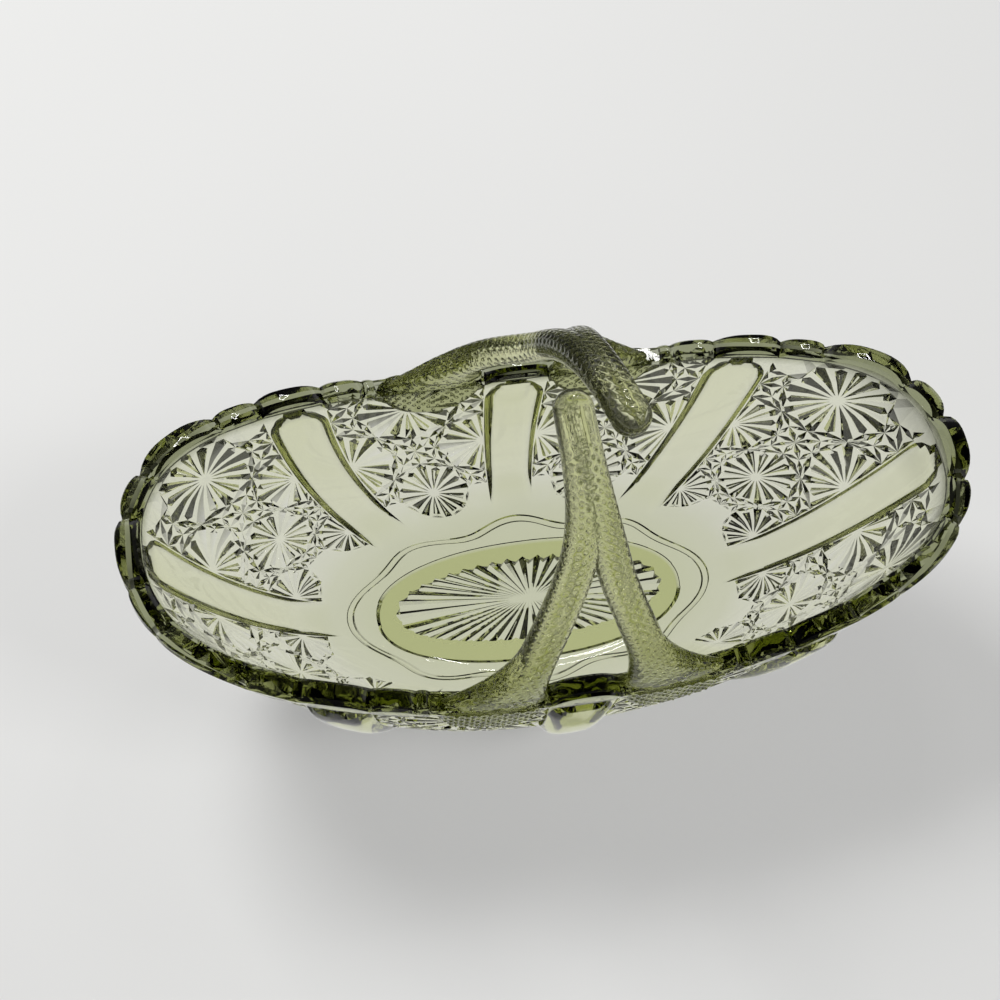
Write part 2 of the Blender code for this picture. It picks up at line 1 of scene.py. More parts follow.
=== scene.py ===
"""Pressed-glass boat basket: the carved, fluted and hobnailed glass that stands for the plain solids."""

import bmesh
import bpy
import numpy as np
from mathutils import Matrix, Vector
from mathutils.geometry import delaunay_2d_cdt


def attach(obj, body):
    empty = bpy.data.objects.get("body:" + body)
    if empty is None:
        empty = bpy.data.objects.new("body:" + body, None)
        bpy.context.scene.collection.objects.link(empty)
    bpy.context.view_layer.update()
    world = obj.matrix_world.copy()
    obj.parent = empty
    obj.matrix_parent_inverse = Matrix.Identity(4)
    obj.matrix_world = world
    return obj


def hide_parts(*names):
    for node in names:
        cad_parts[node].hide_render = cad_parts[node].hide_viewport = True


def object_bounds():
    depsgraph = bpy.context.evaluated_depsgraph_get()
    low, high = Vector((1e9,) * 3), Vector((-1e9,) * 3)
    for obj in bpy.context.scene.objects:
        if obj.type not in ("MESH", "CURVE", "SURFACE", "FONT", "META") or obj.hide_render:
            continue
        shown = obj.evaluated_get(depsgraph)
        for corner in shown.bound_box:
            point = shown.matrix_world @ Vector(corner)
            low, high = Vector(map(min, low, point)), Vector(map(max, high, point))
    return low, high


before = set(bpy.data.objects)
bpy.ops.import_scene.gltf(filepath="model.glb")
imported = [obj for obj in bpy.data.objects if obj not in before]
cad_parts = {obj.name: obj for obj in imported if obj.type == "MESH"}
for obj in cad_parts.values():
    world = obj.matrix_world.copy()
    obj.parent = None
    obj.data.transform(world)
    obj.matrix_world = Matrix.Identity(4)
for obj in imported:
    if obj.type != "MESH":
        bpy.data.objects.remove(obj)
solid_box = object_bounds()

MM = 0.001

# Bowl, as in the solids
FOOT_HEIGHT = 2.0 * MM
FOOT_WIDTH = 8.0 * MM
FOOT_INSET = 1.5 * MM
FLOOR_HALF_LENGTH = 54.5 * MM
FLOOR_HALF_WIDTH = 23.3 * MM
FLOOR_SQUARENESS = 2.2
WALL_THICKNESS = 5.6 * MM
COVE_AT_ENDS = ((0.45, 0.08), (0.78, 0.52))
COVE_AT_SIDES = ((0.82, 0.02), (0.98, 0.45))
SIDE_SPREAD = 1.7
RIM_THICKNESS = 7.0 * MM
RIM_BAND_HEIGHT = 3.4 * MM
RIM_CHAMFER = 0.9 * MM
RIM_TOP_WIDTH = 6.0 * MM
RIM_HALF_LENGTH = 126.0 * MM
RIM_HALF_WIDTH = 55.0 * MM
RIM_SQUARENESS = 2.5
BOWL_DEPTH = 57.0 * MM
END_RIM_LIFT = 18.7 * MM
END_LIFT_FULLNESS = 0.41
FLOOR_TOP = FOOT_HEIGHT + WALL_THICKNESS
SIDE_RIM_HEIGHT = FLOOR_TOP + BOWL_DEPTH
INNER_HALF_LENGTH = RIM_HALF_LENGTH - RIM_THICKNESS / 2
INNER_HALF_WIDTH = RIM_HALF_WIDTH - RIM_THICKNESS / 2
FLUTES = 8
PERIOD = 1.0 / FLUTES
SIDE_FLUTE = {1: 0.25, -1: 0.75}
OVAL_STEPS = 8000
SLOPE_STEP = 0.002
INSIDE_ROWS = 21
FLOOR_RINGS = 7

# Scallops of the rim
FLUTE_SCALLOP = 20.5 * MM
NARROW_SCALLOP = 13.3 * MM
LEG_SEAT = 36.0 * MM
WIDE_SCALLOP_RISE = 4.4 * MM
NARROW_SCALLOP_RISE = 2.8 * MM
SMALL_SCALLOP_RISE = 1.0 * MM
SCALLOP_STEPS = 12
SCALLOP_FULLNESS = 3.0
NOTCH_FILL = 0.35
SCALLOP_PILLOW = 0.7 * MM
PILLOW_INSIDE = 0.4
PILLOW_OUTSIDE = 0.5
RIM_CROWN = 0.25 * MM
RIM_EASE = 0.1

# Flutes
FLUTE_TOP_WIDTH = 16.5 * MM
FLUTE_FOOT_WIDTH = 10.5 * MM
SIDE_FLUTE_WIDENING = 1.25
FLUTE_BULGE = 3.3 * MM
FLUTE_FULLNESS = 4.0
FLUTE_END_DROP = 1.5 * MM
FLUTE_END_ROUND = 9.0 * MM
FLUTE_END_SOFTNESS = 0.7
FLUTE_END_LEAST = 0.25
FLUTE_FOOT_FADE = 0.2
FLUTE_EDGE = 0.3 * MM
FLUTE_ROWS = 44
FLUTE_COLUMNS = 10
FLUTE_CROWDING = 1.6

# Carved stars: places and widths are in half widths of a panel, counted down from the rim band
FIRST_STAR_AT_ENDS = 0.60
FIRST_STAR_AT_SIDES = 0.42
STAR_ROWS_AT_ENDS = 4
STAR_ROWS_AT_SIDES = 3
STAR_CUT = 0.03
STAR_REACH = np.sqrt(0.5)
SMALL_STAR = 0.34
WIDEST_STAR = 25.0 * MM
BUTTON = 0.085
CUT_SLOPE = 1.9
CUT_FULLEST = 0.90
CUT_RAY = 0.078
CUT_SHORT_RAY = 0.92 * CUT_RAY
CUT_ACROSS = 0.050
CUT_SMALL = 0.048
CUT_JOIN = 0.85 * CUT_SMALL
FACET_SPLITS = 2
LADDER_STEPS = 400
WELD = 1e-5
SPLIT_NEAR = 1e-6

# Plain glass and wavy collar below the stars
PLAIN_ROWS = 8
PLAIN_COLUMNS = 24
PLAIN_EDGE = 0.03
COLLAR_REACH = 4.4 * MM
COLLAR_WAVE = 1.9 * MM
COLLAR_RISE = 1.1 * MM
COLLAR_MARGIN = 0.012
COLLAR_COLUMNS = 40
COLLAR_BEAD = ((-1.3 * MM, 0.0), (-0.8 * MM, 0.75), (0.0, 1.0), (0.8 * MM, 0.75), (1.3 * MM, 0.0))
SHEET_HEIGHT = 1.2
SHEET_NEAR = 1e-7
SHARE_NEAR = 1e-9

# Pressed star under the floor
BASE_RAYS = 40
RAY_STEPS = 8
BASE_STATIONS = BASE_RAYS * RAY_STEPS
STAR_RINGS = 9
STAR_HEIGHT = 3.4 * MM
STAR_CORE_LENGTH = 7.0 * MM
STAR_CORE_WIDTH = 1.3 * MM
BASE_RAY_DEPTH = 1.5 * MM
BASE_RAY_SHARE = 0.25
FOOT_TEETH = 2.2 * MM
TOOTH_TOP = 0.6
FOOT_DRAFT = 0.1 * MM
FOOT_BEVEL = 1.1 * MM

# Handle arms, as in the solids
LEG_WIDTH = 10.6 * MM
LEG_DEPTH = 9.0 * MM
LEG_BASE_WIDTH = 13.0 * MM
LEG_TAPER = 2.0
LEG_INSET = 8.5 * MM
SECTION_SOFTNESS = 0.85
SEAT_MARGIN = 1.0 * MM
SEAT_EDGE = 0.2 * MM
SEAT_SINK = 2.0 * MM
SEAT_FLARE_HEIGHT = 24.0 * MM
SEAT_FLARE_CURVE = 2.0
STEM_TIP_WIDTH = 11.0 * MM
STEM_TIP_DEPTH = 9.6 * MM
STEM_TIP_ROUND = 5.5 * MM
STEM_TAPER = 2.6
STEM_FORK_SLOPE = 0.52
STEM_TOP_HEIGHT = 91.5 * MM
FORK_OUT = 36.0 * MM
FORK_HEIGHT = 47.0 * MM
FORK_SWAY = {-1: 0.5 * MM, 1: 5.0 * MM}
TIP_REACH = {-1: 3.5 * MM, 1: 19.0 * MM}
TIP_SWAY = {-1: 0.0, 1: 4.5 * MM}
TIP_WAYS = {-1: (-0.10, 0.80, 0.60), 1: (0.29, -0.95, -0.12)}
BOND_GAP = 0.3 * MM
ARM_STEP = 0.7 * MM
ARM_SIDES = 48
TIP_RINGS = 13
TIP_LEAST = 0.02

# Hobnails, and the roots of the legs on the wall
HOBNAIL = 1.7 * MM
HOBNAIL_RISE = 0.54 * MM
HOBNAIL_LEVEL = 0.25
HOBNAIL_ROUNDING = 0.7
HOBNAIL_SPREAD = 3.0
SMOOTH_TIP = {-1: 0.80, 1: 0.97}
SMOOTH_FADE = 0.15
ARM_MARK = 0.02
ROOT_DROP = 17.0 * MM
ROOT_ARCH = 0.02
ROOT_MARGIN = 1.0 * MM
ROOT_EDGE = 0.2
ROOT_RISE = 1.9 * MM
ROOT_SINK = 0.6 * MM
ROOT_LIMIT = 59.0 * MM

# Glass
BODY_WELD = 2e-6
SLIVER = 1e-7
SHARP_ANGLE = 14.0
GLASS_IOR = 1.5
GLASS_DENSITY = 66.0
GLASS_DEPTH_COLOUR = (0.74, 0.765, 0.36)
FIRE_POLISH = {"Wave Size": 70.0, "Grain Size": 900.0, "Dullness": 0.03}
HOBNAIL_ROWS = {"Turns": np.pi / HOBNAIL, "Level": HOBNAIL_LEVEL}
GRAIN_SHARE = 0.06
POLISH_STRENGTH = 0.12
POLISH_RISE = 0.4 * MM
CLEAR = np.ones(3)
# Painted shade: the rim's near-black colour stands in for the dark its thick glass shows, on top of thick
# glass's deeper colour
RIM_TINT_AND_SHADE = np.array([0.20, 0.22, 0.13])
FOOT_TINT = np.array([0.60, 0.65, 0.28])
COLLAR_TINT = np.array([0.88, 0.90, 0.76])
ROOT_TINT = np.array([0.50, 0.52, 0.31])
STEM_TINT = np.array([0.97, 0.97, 0.87])
PAD_TINT = np.array([0.26, 0.28, 0.13])
RIM_TINT_AND_SHADE_FADE = (0.0, RIM_BAND_HEIGHT)
FOOT_TINT_FADE = (0.3 * MM, 0.9 * MM)
COLLAR_TINT_FADE = (7.0 * MM, 11.0 * MM)
STEM_TINT_FADE = (5.0 * MM, 40.0 * MM)
PAD_TINT_FADE = (-3.0 * MM, 4.0 * MM)

# Table, room and lights
FLOOR_REACH = 3.0
FLOOR_DROP = 0.2 * MM
FLOOR_ROUGHNESS = 0.7
FLOOR_TONE_SIZE = 3.0
FLOOR_DARK = (0.74, 0.74, 0.73)
FLOOR_PALE = (0.80, 0.80, 0.79)
FLOOR_GLOW = 0.95
FLOOR_GLOW_SEEN = 0.5
FLOOR_GLOW_THROUGH = 0.95
FAR_GLOW = 0.06
POOL_INNER = 0.15
POOL_OUTER = 0.20
ROOM_LOW = (0.12, 0.12, 0.12)
ROOM_HIGH = (0.01, 0.01, 0.01)
ROOM_FADE = 0.5
DIM_SIDE = (0.0, -0.55, 0.83)
BACKDROP = (0.66, 0.66, 0.66)
BACKDROP_FOOT = 0.10
BACKDROP_TOP = 0.30
LIGHT_AIM = np.array([0.0, 0.0, 0.05])
WINDOW = {"place": (-0.55, 0.75, 1.1), "size": (0.6, 0.5), "power": 20.0}
ROOM = {"place": (0.8, -0.5, 1.2), "size": (0.5, 0.5), "power": 8.0}
LAMP_FRAME = np.array([0.12, 0.41, 0.66])
LAMP_ACROSS = np.array([0.045, 0.0, 0.0])
LAMP_BACK = np.array([0.0, 0.045, -0.026])
LAMP_BAR = (0.10, 0.012)
LAMP_POWER = 0.09

# Camera that the photo was taken with: its angles, and where it sees the rim's middle
CAMERA_AZIMUTH = -20.2
CAMERA_HEIGHT = 63.6
CAMERA_ROLL = -10.9
RIM_IN_VIEW = np.array([15.3, -7.2, -526.8]) * MM
CAMERA_LENS = 61.2
CAMERA_SENSOR = 36.0
CAMERA_NEAR = 0.01


def norm(vectors):
    """How long vectors are."""
    return np.linalg.norm(vectors, axis=-1)


def unit(vectors):
    """Vectors made one long."""
    return vectors / norm(vectors)[..., None]


def soft_turn(turn, power):
    """Cosine and sine of a turn, raised to a power with their signs kept."""
    both = np.stack([np.cos(turn), np.sin(turn)])
    return np.sign(both) * np.abs(both) ** power


def oval_table(half_length, half_width, squareness):
    """A squared oval, |x/a|^n + |y/b|^n = 1, from +X towards +Y, with the girth behind each point."""
    x, y = soft_turn(np.linspace(0.0, 2.0 * np.pi, OVAL_STEPS + 1), 2.0 / squareness)
    x, y = half_length * x, half_width * y
    girth = np.concatenate(([0.0], np.cumsum(np.hypot(np.diff(x), np.diff(y)))))
    return x, y, girth


def oval(table, share):
    """Points of an oval at shares of its girth."""
    x, y, girth = table
    along = np.mod(share, 1.0) * girth[-1]
    return np.interp(along, girth, x), np.interp(along, girth, y)


FLOOR_OVAL = oval_table(FLOOR_HALF_LENGTH, FLOOR_HALF_WIDTH, FLOOR_SQUARENESS)
RIM_OVAL = oval_table(INNER_HALF_LENGTH, INNER_HALF_WIDTH, RIM_SQUARENESS)


def rim_line(x):
    """Height of the rim's notches: level at the sides, lifted towards both ends."""
    reach = (x / INNER_HALF_LENGTH) ** 2
    return SIDE_RIM_HEIGHT + END_RIM_LIFT * reach * (1.0 + END_LIFT_FULLNESS * (1.0 - reach))


def inner_skin(share, climb):
    """Inner wall: a cubic curve at each share of the girth, from the floor (climb 0) to the rim (1)."""
    floor_x, floor_y = oval(FLOOR_OVAL, share)
    rim_x, rim_y = oval(RIM_OVAL, share)
    sideness = np.clip(1.0 - (rim_x / INNER_HALF_LENGTH) ** 2, 0.0, 1.0) ** SIDE_SPREAD
    ends, sides = np.array(COVE_AT_ENDS), np.array(COVE_AT_SIDES)
    early, late = 3.0 * climb * (1.0 - climb) ** 2, 3.0 * climb**2 * (1.0 - climb)
    run, rise = [
        early * (ends[0, way] + (sides - ends)[0, way] * sideness)
        + late * (ends[1, way] + (sides - ends)[1, way] * sideness)
        + climb**3
        for way in (0, 1)
    ]
    x, y = floor_x + (rim_x - floor_x) * run, floor_y + (rim_y - floor_y) * run
    return np.stack([x, y, FLOOR_TOP + (rim_line(rim_x) - FLOOR_TOP) * rise], axis=-1)


def skin_slopes(share, climb):
    """How the inner wall runs along the girth and up, per share and per climb."""
    step = SLOPE_STEP
    along = (inner_skin(share + step, climb) - inner_skin(share - step, climb)) / (2.0 * step)
    up = (inner_skin(share, climb + step) - inner_skin(share, climb - step)) / (2.0 * step)
    return along, up


def wall_point(share, climb, depth):
    """The point that lies depth metres outwards from the inner skin, square to it."""
    share, climb, depth = np.broadcast_arrays(share, climb, depth)
    along, up = skin_slopes(share, climb)
    return inner_skin(share, climb) + unit(np.cross(along, up)) * depth[..., None]


def girth_share(length, share, climb):
    """A length along the wall as a share of the girth there."""
    return length / norm(skin_slopes(share, climb)[0])


def rim_share(length):
    """A length along the rim as a share of its girth."""
    return length / RIM_OVAL[2][-1]


def band_foot(share):
    """The climb at which the rim band begins."""
    return 1.0 - RIM_BAND_HEIGHT / norm(skin_slopes(share, 1.0)[1])


def grid_faces(rows, columns, closed):
    """Faces of a grid of points; a closed grid joins its last column to its first."""
    number = np.arange(rows * columns).reshape(rows, columns)
    ahead = np.roll(number, -1, axis=1) if closed else number[:, 1:]
    here = number if closed else number[:, :-1]
    return np.stack([here[:-1], ahead[:-1], ahead[1:], here[1:]], axis=-1).reshape(-1, 4)


def fan_faces(ring, centre):
    """Faces from the points of a ring to one middle point."""
    return np.stack([ring, np.roll(ring, -1), np.full(len(ring), centre)], axis=-1)


def scallops():
    """Start, end and rise of each scallop: half of the round from the right end, then again."""
    flute, narrow, seat = rim_share(FLUTE_SCALLOP / 2), rim_share(NARROW_SCALLOP), rim_share(LEG_SEAT)
    first, second = PERIOD, 2 * PERIOD
    stops = [-flute, flute, flute + narrow]
    stops += [first - flute - narrow, first - flute, first + flute, first + flute + narrow]
    stops += [second - flute - seat, second - flute, second + flute]
    wide, less = WIDE_SCALLOP_RISE, NARROW_SCALLOP_RISE
    rises = [wide, less, wide, less, wide, less, SMALL_SCALLOP_RISE, 0.0, wide]
    quarter = list(zip(stops[:-1], stops[1:], rises))
    back = [(0.5 - end, 0.5 - start, rise) for start, end, rise in reversed(quarter[1:-1])]
    half = np.array(quarter + back)
    return np.concatenate([half, half + np.array([0.5, 0.5, 0.0])])


def rim_stations():
    """Shares of the girth around the rim, with each one's rise and its place in the swell of its scallop.

    A notch is filled to a part of the lower of its two scallops, and they swell above it.
    """
    start, end, rise = scallops().T[:, :, None]
    step = np.arange(SCALLOP_STEPS)[None, :] / SCALLOP_STEPS
    swell = 1.0 - np.abs(2.0 * step - 1.0) ** SCALLOP_FULLNESS
    share = start + (end - start) * step
    notch = NOTCH_FILL * np.minimum(rise, np.roll(rise, 1, axis=0))
    ahead = np.roll(notch, -1, axis=0)
    lift = notch + (ahead - notch) * step + (rise - (notch + ahead) / 2) * swell
    return share.ravel(), lift.ravel(), (np.sign(rise) * swell).ravel()


def rim_surface(share, rise, swell):
    """Rim band: a profile carried round the girth. A scallop's top is level and its faces swell a little.

    At the notches and under the legs the top lies square to the wall; the level top blends in between.
    """
    along, climb_way = skin_slopes(share, 1.0)
    up = unit(climb_way)
    outward = unit(np.cross(along, climb_way) * np.array([1.0, 1.0, 0.0]))
    upright = np.array([0.0, 0.0, 1.0])
    low = band_foot(share)
    pillow = SCALLOP_PILLOW * swell
    level = np.sqrt(swell)[:, None]
    full = rise[:, None] * up
    shoulder = (rise - RIM_CHAMFER)[:, None] * up
    crest = inner_skin(share, 1.0) + full

    def top(depth, way_up, out, lift):
        """A point of the top: square to the wall at the notches, level in the middle of a scallop."""
        square = wall_point(share, 1.0, depth) + way_up
        return square + (crest + outward * out + upright * lift - square) * level

    rings = [
        wall_point(share, low, 0.0),
        wall_point(share, 1.0, -PILLOW_INSIDE * pillow) + 0.5 * shoulder,
        wall_point(share, 1.0, RIM_EASE * RIM_CHAMFER) + shoulder,
        top(RIM_CHAMFER, full, RIM_CHAMFER, 0.0),
        top(RIM_THICKNESS / 2, full, RIM_TOP_WIDTH / 2, RIM_CROWN),
        top(RIM_THICKNESS - RIM_CHAMFER, full, RIM_TOP_WIDTH - RIM_CHAMFER / 2, 0.0),
        top(RIM_THICKNESS - RIM_CHAMFER / 2, shoulder, RIM_TOP_WIDTH, -RIM_CHAMFER),
        wall_point(share, 1.0, RIM_THICKNESS) + shoulder - RIM_CHAMFER / 2 * up,
        wall_point(share, low, RIM_THICKNESS - SCALLOP_PILLOW / 2 + PILLOW_OUTSIDE * pillow),
        wall_point(share, low, WALL_THICKNESS),
    ]
    return np.array(rings), [grid_faces(len(rings), len(share), True)]


def inside_surface(share):
    """Inner wall and floor: rows climb the skin, and rings shrink over the flat floor to its middle."""
    climb = np.linspace(0.0, 1.0, INSIDE_ROWS)[:, None] * band_foot(share)[None, :]
    wall = inner_skin(share, climb)[::-1]
    shrink = np.linspace(1.0, 0.0, FLOOR_RINGS + 2)[1:-1]
    rings = wall[-1][None] * shrink[:, None, None]
    rings[..., 2] = FLOOR_TOP
    rows = np.concatenate([wall, rings])
    points = np.concatenate([rows.reshape(-1, 3), [[0.0, 0.0, FLOOR_TOP]]])
    count = len(share)
    last = np.arange(count) + (len(rows) - 1) * count
    return points, [grid_faces(len(rows), count, True), fan_faces(last, len(points) - 1)]


def base_surface():
    """Foot and pressed star: ovals from the wall's foot to the star's core, its rays cut up into the glass.

    A ray is a V whose depth grows along it; its width is a set part of the space between rays.
    """
    share = np.arange(BASE_STATIONS) / BASE_STATIONS
    phase = np.abs(np.mod(share * BASE_RAYS + 0.5, 1.0) - 0.5)
    ray = BASE_RAY_DEPTH * np.clip(1.0 - phase / BASE_RAY_SHARE, 0.0, None)
    tooth = FOOT_TEETH * (1.0 - 2.0 * phase)[:, None]

    def ring(inset, height):
        """An oval that lies a set way inside the floor's edge."""
        table = oval_table(FLOOR_HALF_LENGTH - inset, FLOOR_HALF_WIDTH - inset, FLOOR_SQUARENESS)
        return np.stack([*oval(table, share), np.broadcast_to(height, share.shape)], axis=-1)

    inner = FOOT_INSET + FOOT_WIDTH
    outer_star = ring(inner, STAR_HEIGHT)
    core_x, core_y = oval(oval_table(STAR_CORE_LENGTH, STAR_CORE_WIDTH, 2.0), share)
    core = np.stack([core_x, core_y, np.zeros_like(share)], axis=-1)
    inward = unit(core - outer_star) * np.array([1.0, 1.0, 0.0])
    rows = [
        wall_point(share, 0.0, WALL_THICKNESS),
        ring(FOOT_INSET, FOOT_HEIGHT),
        ring(FOOT_INSET + FOOT_DRAFT, FOOT_BEVEL),
        ring(FOOT_INSET + FOOT_DRAFT + FOOT_BEVEL, 0.0),
        ring(inner, 0.0) - inward * tooth,
        ring(inner, STAR_HEIGHT + ray) - inward * TOOTH_TOP * tooth,
    ]
    for part in np.linspace(1.0, 0.0, STAR_RINGS + 1)[1:]:
        row = core + (outer_star - core) * part
        row[:, 2] = STAR_HEIGHT + ray * part
        rows.append(row)
    points = np.concatenate([np.concatenate(rows), [[0.0, 0.0, STAR_HEIGHT]]])
    last = np.arange(BASE_STATIONS) + (len(rows) - 1) * BASE_STATIONS
    return points, [grid_faces(len(rows), BASE_STATIONS, True), fan_faces(last, len(points) - 1)]


def star_tile():
    """One eighth of a carved star, as triangles of (across, down, height) in half widths of a panel.

    The button's middle is (0, 0), the small star's middle is (1, 0), and halfway between two buttons is
    (0.5, 0.5). A cut is a V that is widest and deepest along the way and runs out to a point at both ends.
    What is left between the cuts stays level.
    """
    facets = []

    def at(reach, degrees):
        """The point of the level glass at a reach and a turn from the button's middle."""
        turn = np.radians(degrees)
        return np.array([reach * np.cos(turn), reach * np.sin(turn), 0.0])

    def cut(start, end, part, half_width, sides=(1, -1)):
        """Carve a V between two points and give its lips; a cut on the tile's border has one side here."""
        middle = start + (end - start) * part
        bottom = middle - np.array([0.0, 0.0, CUT_SLOPE * half_width])
        way = unit((end - start)[:2])
        lips = [middle + np.array([-way[1], way[0], 0.0]) * half_width * side for side in sides]
        for lip in lips:
            facets.extend([(start, bottom, lip), (bottom, end, lip)])
        return lips

    button, small = np.zeros(3), np.array([1.0, 0.0, 0.0])
    corner, meet, side = at(STAR_REACH, 0.0), at(STAR_REACH, 45.0), np.array([0.75, 0.25, 0.0])
    disc = [at(BUTTON, turn) for turn in (0.0, 22.5, 45.0)]
    edge_in, edge_out = sorted(cut(meet, corner, 0.5, CUT_ACROSS), key=norm)
    [low_lip] = cut(disc[0], corner, CUT_FULLEST, CUT_RAY, [1])
    mid_up, mid_low = cut(disc[1], edge_in, CUT_FULLEST, CUT_SHORT_RAY)
    [top_lip] = cut(disc[2], meet, CUT_FULLEST, CUT_RAY, [-1])
    [out_lip] = cut(corner, small, 0.5, CUT_SMALL, [1])
    [rise_lip] = cut(side, meet, 0.5, CUT_SMALL, [1])
    [fall_lip] = cut(small, side, 0.5, CUT_SMALL, [1])
    join_left, join_right = cut(corner, side, 0.5, CUT_JOIN)
    level = [
        (button, disc[0], disc[1]), (disc[0], low_lip, mid_low), (disc[0], mid_low, disc[1]),
        (low_lip, edge_in, mid_low), (low_lip, corner, edge_in),
        (button, disc[1], disc[2]), (disc[1], mid_up, disc[2]), (disc[2], mid_up, top_lip),
        (mid_up, edge_in, top_lip), (top_lip, edge_in, meet),
        (corner, join_left, edge_out), (join_left, side, edge_out),
        (side, rise_lip, edge_out), (rise_lip, meet, edge_out),
        (corner, out_lip, join_right), (join_right, out_lip, fall_lip),
        (join_right, fall_lip, side), (out_lip, small, fall_lip),
    ]
    return np.array(level + facets)


def split_triangles(triangles, parts):
    """Each triangle cut into parts x parts equal ones that lie in its plane."""
    steps = [(i, j) for i in range(parts) for j in range(parts - i)]
    small = [((i, j), (i + 1, j), (i, j + 1)) for i, j in steps]
    small += [((i + 1, j), (i + 1, j + 1), (i, j + 1)) for i, j in steps if i + j < parts - 1]
    corner = np.array(small) / parts
    weight = np.concatenate([1.0 - corner.sum(axis=-1, keepdims=True), corner], axis=-1)
    return np.einsum("tck,nkx->ntcx", weight, triangles).reshape(-1, 3, 3)


def star_field(rows, first, filled):
    """All carved facets of a panel, as triangles of (across, down, height): stars in a diamond layout.

    A filled panel keeps the facets above its first row of stars too.
    """
    tile = star_tile()
    images = [tile * np.array([sx, sy, 1.0]) for sx in (1, -1) for sy in (1, -1)]
    images += [image[..., [1, 0, 2]] for image in images]
    star = np.concatenate(images)
    centres = [(col, row) for row in range(-1, rows + 1) for col in (-1, 0, 1) if (row + col) % 2 == 0]
    field = np.concatenate([star + np.array([col, first + row, 0.0]) for col, row in centres])
    middle = field.mean(axis=1)
    last = first + rows - 1
    keep = (filled | (middle[:, 1] > first)) & (middle[:, 1] < last)
    for row in (0, rows - 1):
        for col in (-1, 0, 1):
            aside, along = np.abs(middle[:, :2] - np.array([col, first + row])).T
            eight_sided = np.maximum(aside, along) + (np.sqrt(2.0) - 1.0) * np.minimum(aside, along)
            if (row + col) % 2 == 0:
                keep |= eight_sided < STAR_REACH
            elif row == 0:
                keep |= np.hypot(aside, along) < SMALL_STAR
    return split_triangles(field[keep & (np.abs(middle[:, 0]) < 1.0)], FACET_SPLITS)


def mesh_array(items, name, width, kind=np.float32):
    """One property of all items of a mesh, as rows of an array."""
    values = np.empty(len(items) * width, dtype=kind)
    items.foreach_get(name, values)
    return values.reshape(-1, width)


def cut_field(rows, first, filled):
    """The carved facets as welded points and edges, cut off along the rim band, with a level lower edge."""
    field = star_field(rows, first, filled)
    sheet = bpy.data.meshes.new("stars")
    sheet.from_pydata(field.reshape(-1, 3).tolist(), [], np.arange(field.size // 3).reshape(-1, 3).tolist())
    flat = bmesh.new()
    flat.from_mesh(sheet)
    bmesh.ops.remove_doubles(flat, verts=flat.verts, dist=WELD)
    whole = [*flat.verts, *flat.edges, *flat.faces]
    plane = {"plane_co": (0.0, STAR_CUT, 0.0), "plane_no": (0.0, 1.0, 0.0)}
    bmesh.ops.bisect_plane(flat, geom=whole, dist=SPLIT_NEAR, clear_inner=True, **plane)
    flat.to_mesh(sheet)
    flat.free()
    points = mesh_array(sheet.vertices, "co", 3).astype(float)
    edges = mesh_array(sheet.edges, "vertices", 2, np.int32)
    sides = mesh_array(sheet.loops, "edge_index", 1, np.int32)[:, 0]
    bpy.data.meshes.remove(sheet)
    border = np.zeros(len(points), dtype=bool)
    border[edges[np.bincount(sides, minlength=len(edges)) == 1]] = True
    low = points[:, 1] > first + rows - 1 - WELD
    points[border & low & (np.abs(points[:, 0]) < 1.0 - WELD), 2] = 0.0
    return points, edges


def flute_half(flute, level):
    """Half of a flute's width at each level of the wall, as a share of the girth."""
    width = FLUTE_FOOT_WIDTH + (FLUTE_TOP_WIDTH - FLUTE_FOOT_WIDTH) * level
    widening = 1.0 if flute % 4 == 0 else SIDE_FLUTE_WIDENING
    return girth_share(width / 2 * widening, flute * PERIOD, level)


def flute_end(flute, level):
    """How much of its width a flute keeps at each level: it ends round, under the rim band."""
    share = flute * PERIOD
    length = norm(skin_slopes(share, 1.0)[1]) * band_foot(share)
    below = (1.0 - level) * length - FLUTE_END_DROP
    into = np.clip(1.0 - below / FLUTE_END_ROUND, 0.0, 1.0)
    return np.sqrt(1.0 - into**2)


def panel_edges(place, level, left=0.0, right=0.0):
    """Left and right edge of a panel at each level, beside its flutes and inside margins."""
    first = place * PERIOD + flute_half(place, level) + left
    return first, (place + 1) * PERIOD - flute_half(place + 1, level) - right


def panel_ladder(place):
    """Levels down the middle of a panel, the way down in half widths, and the half width in metres."""
    level = np.linspace(1.0, 0.0, LADDER_STEPS)
    left, right = panel_edges(place, level)
    share = (left + right) / 2
    climb = level * band_foot(share)
    along, _ = skin_slopes(share, climb)
    half_width = norm(along) * (right - left) / 2
    path = wall_point(share, climb, WALL_THICKNESS)
    step = norm(np.diff(path, axis=0))
    star = np.minimum(half_width, WIDEST_STAR)
    down = np.concatenate(([0.0], np.cumsum(step / ((star[1:] + star[:-1]) / 2))))
    return level, down, star


def collar_level(share, beside):
    """Level of the wavy collar around the foot, or of a line beside it: higher at the flutes."""
    way_up = COLLAR_REACH + COLLAR_WAVE * np.cos(2.0 * np.pi * FLUTES * share) + beside
    slope = skin_slopes(share, 0.0)[1]
    return way_up / (norm(slope) * band_foot(share))


def above_collar(share):
    """The lowest level that is clear of the collar's bead."""
    return collar_level(share, COLLAR_BEAD[-1][0]) + COLLAR_MARGIN


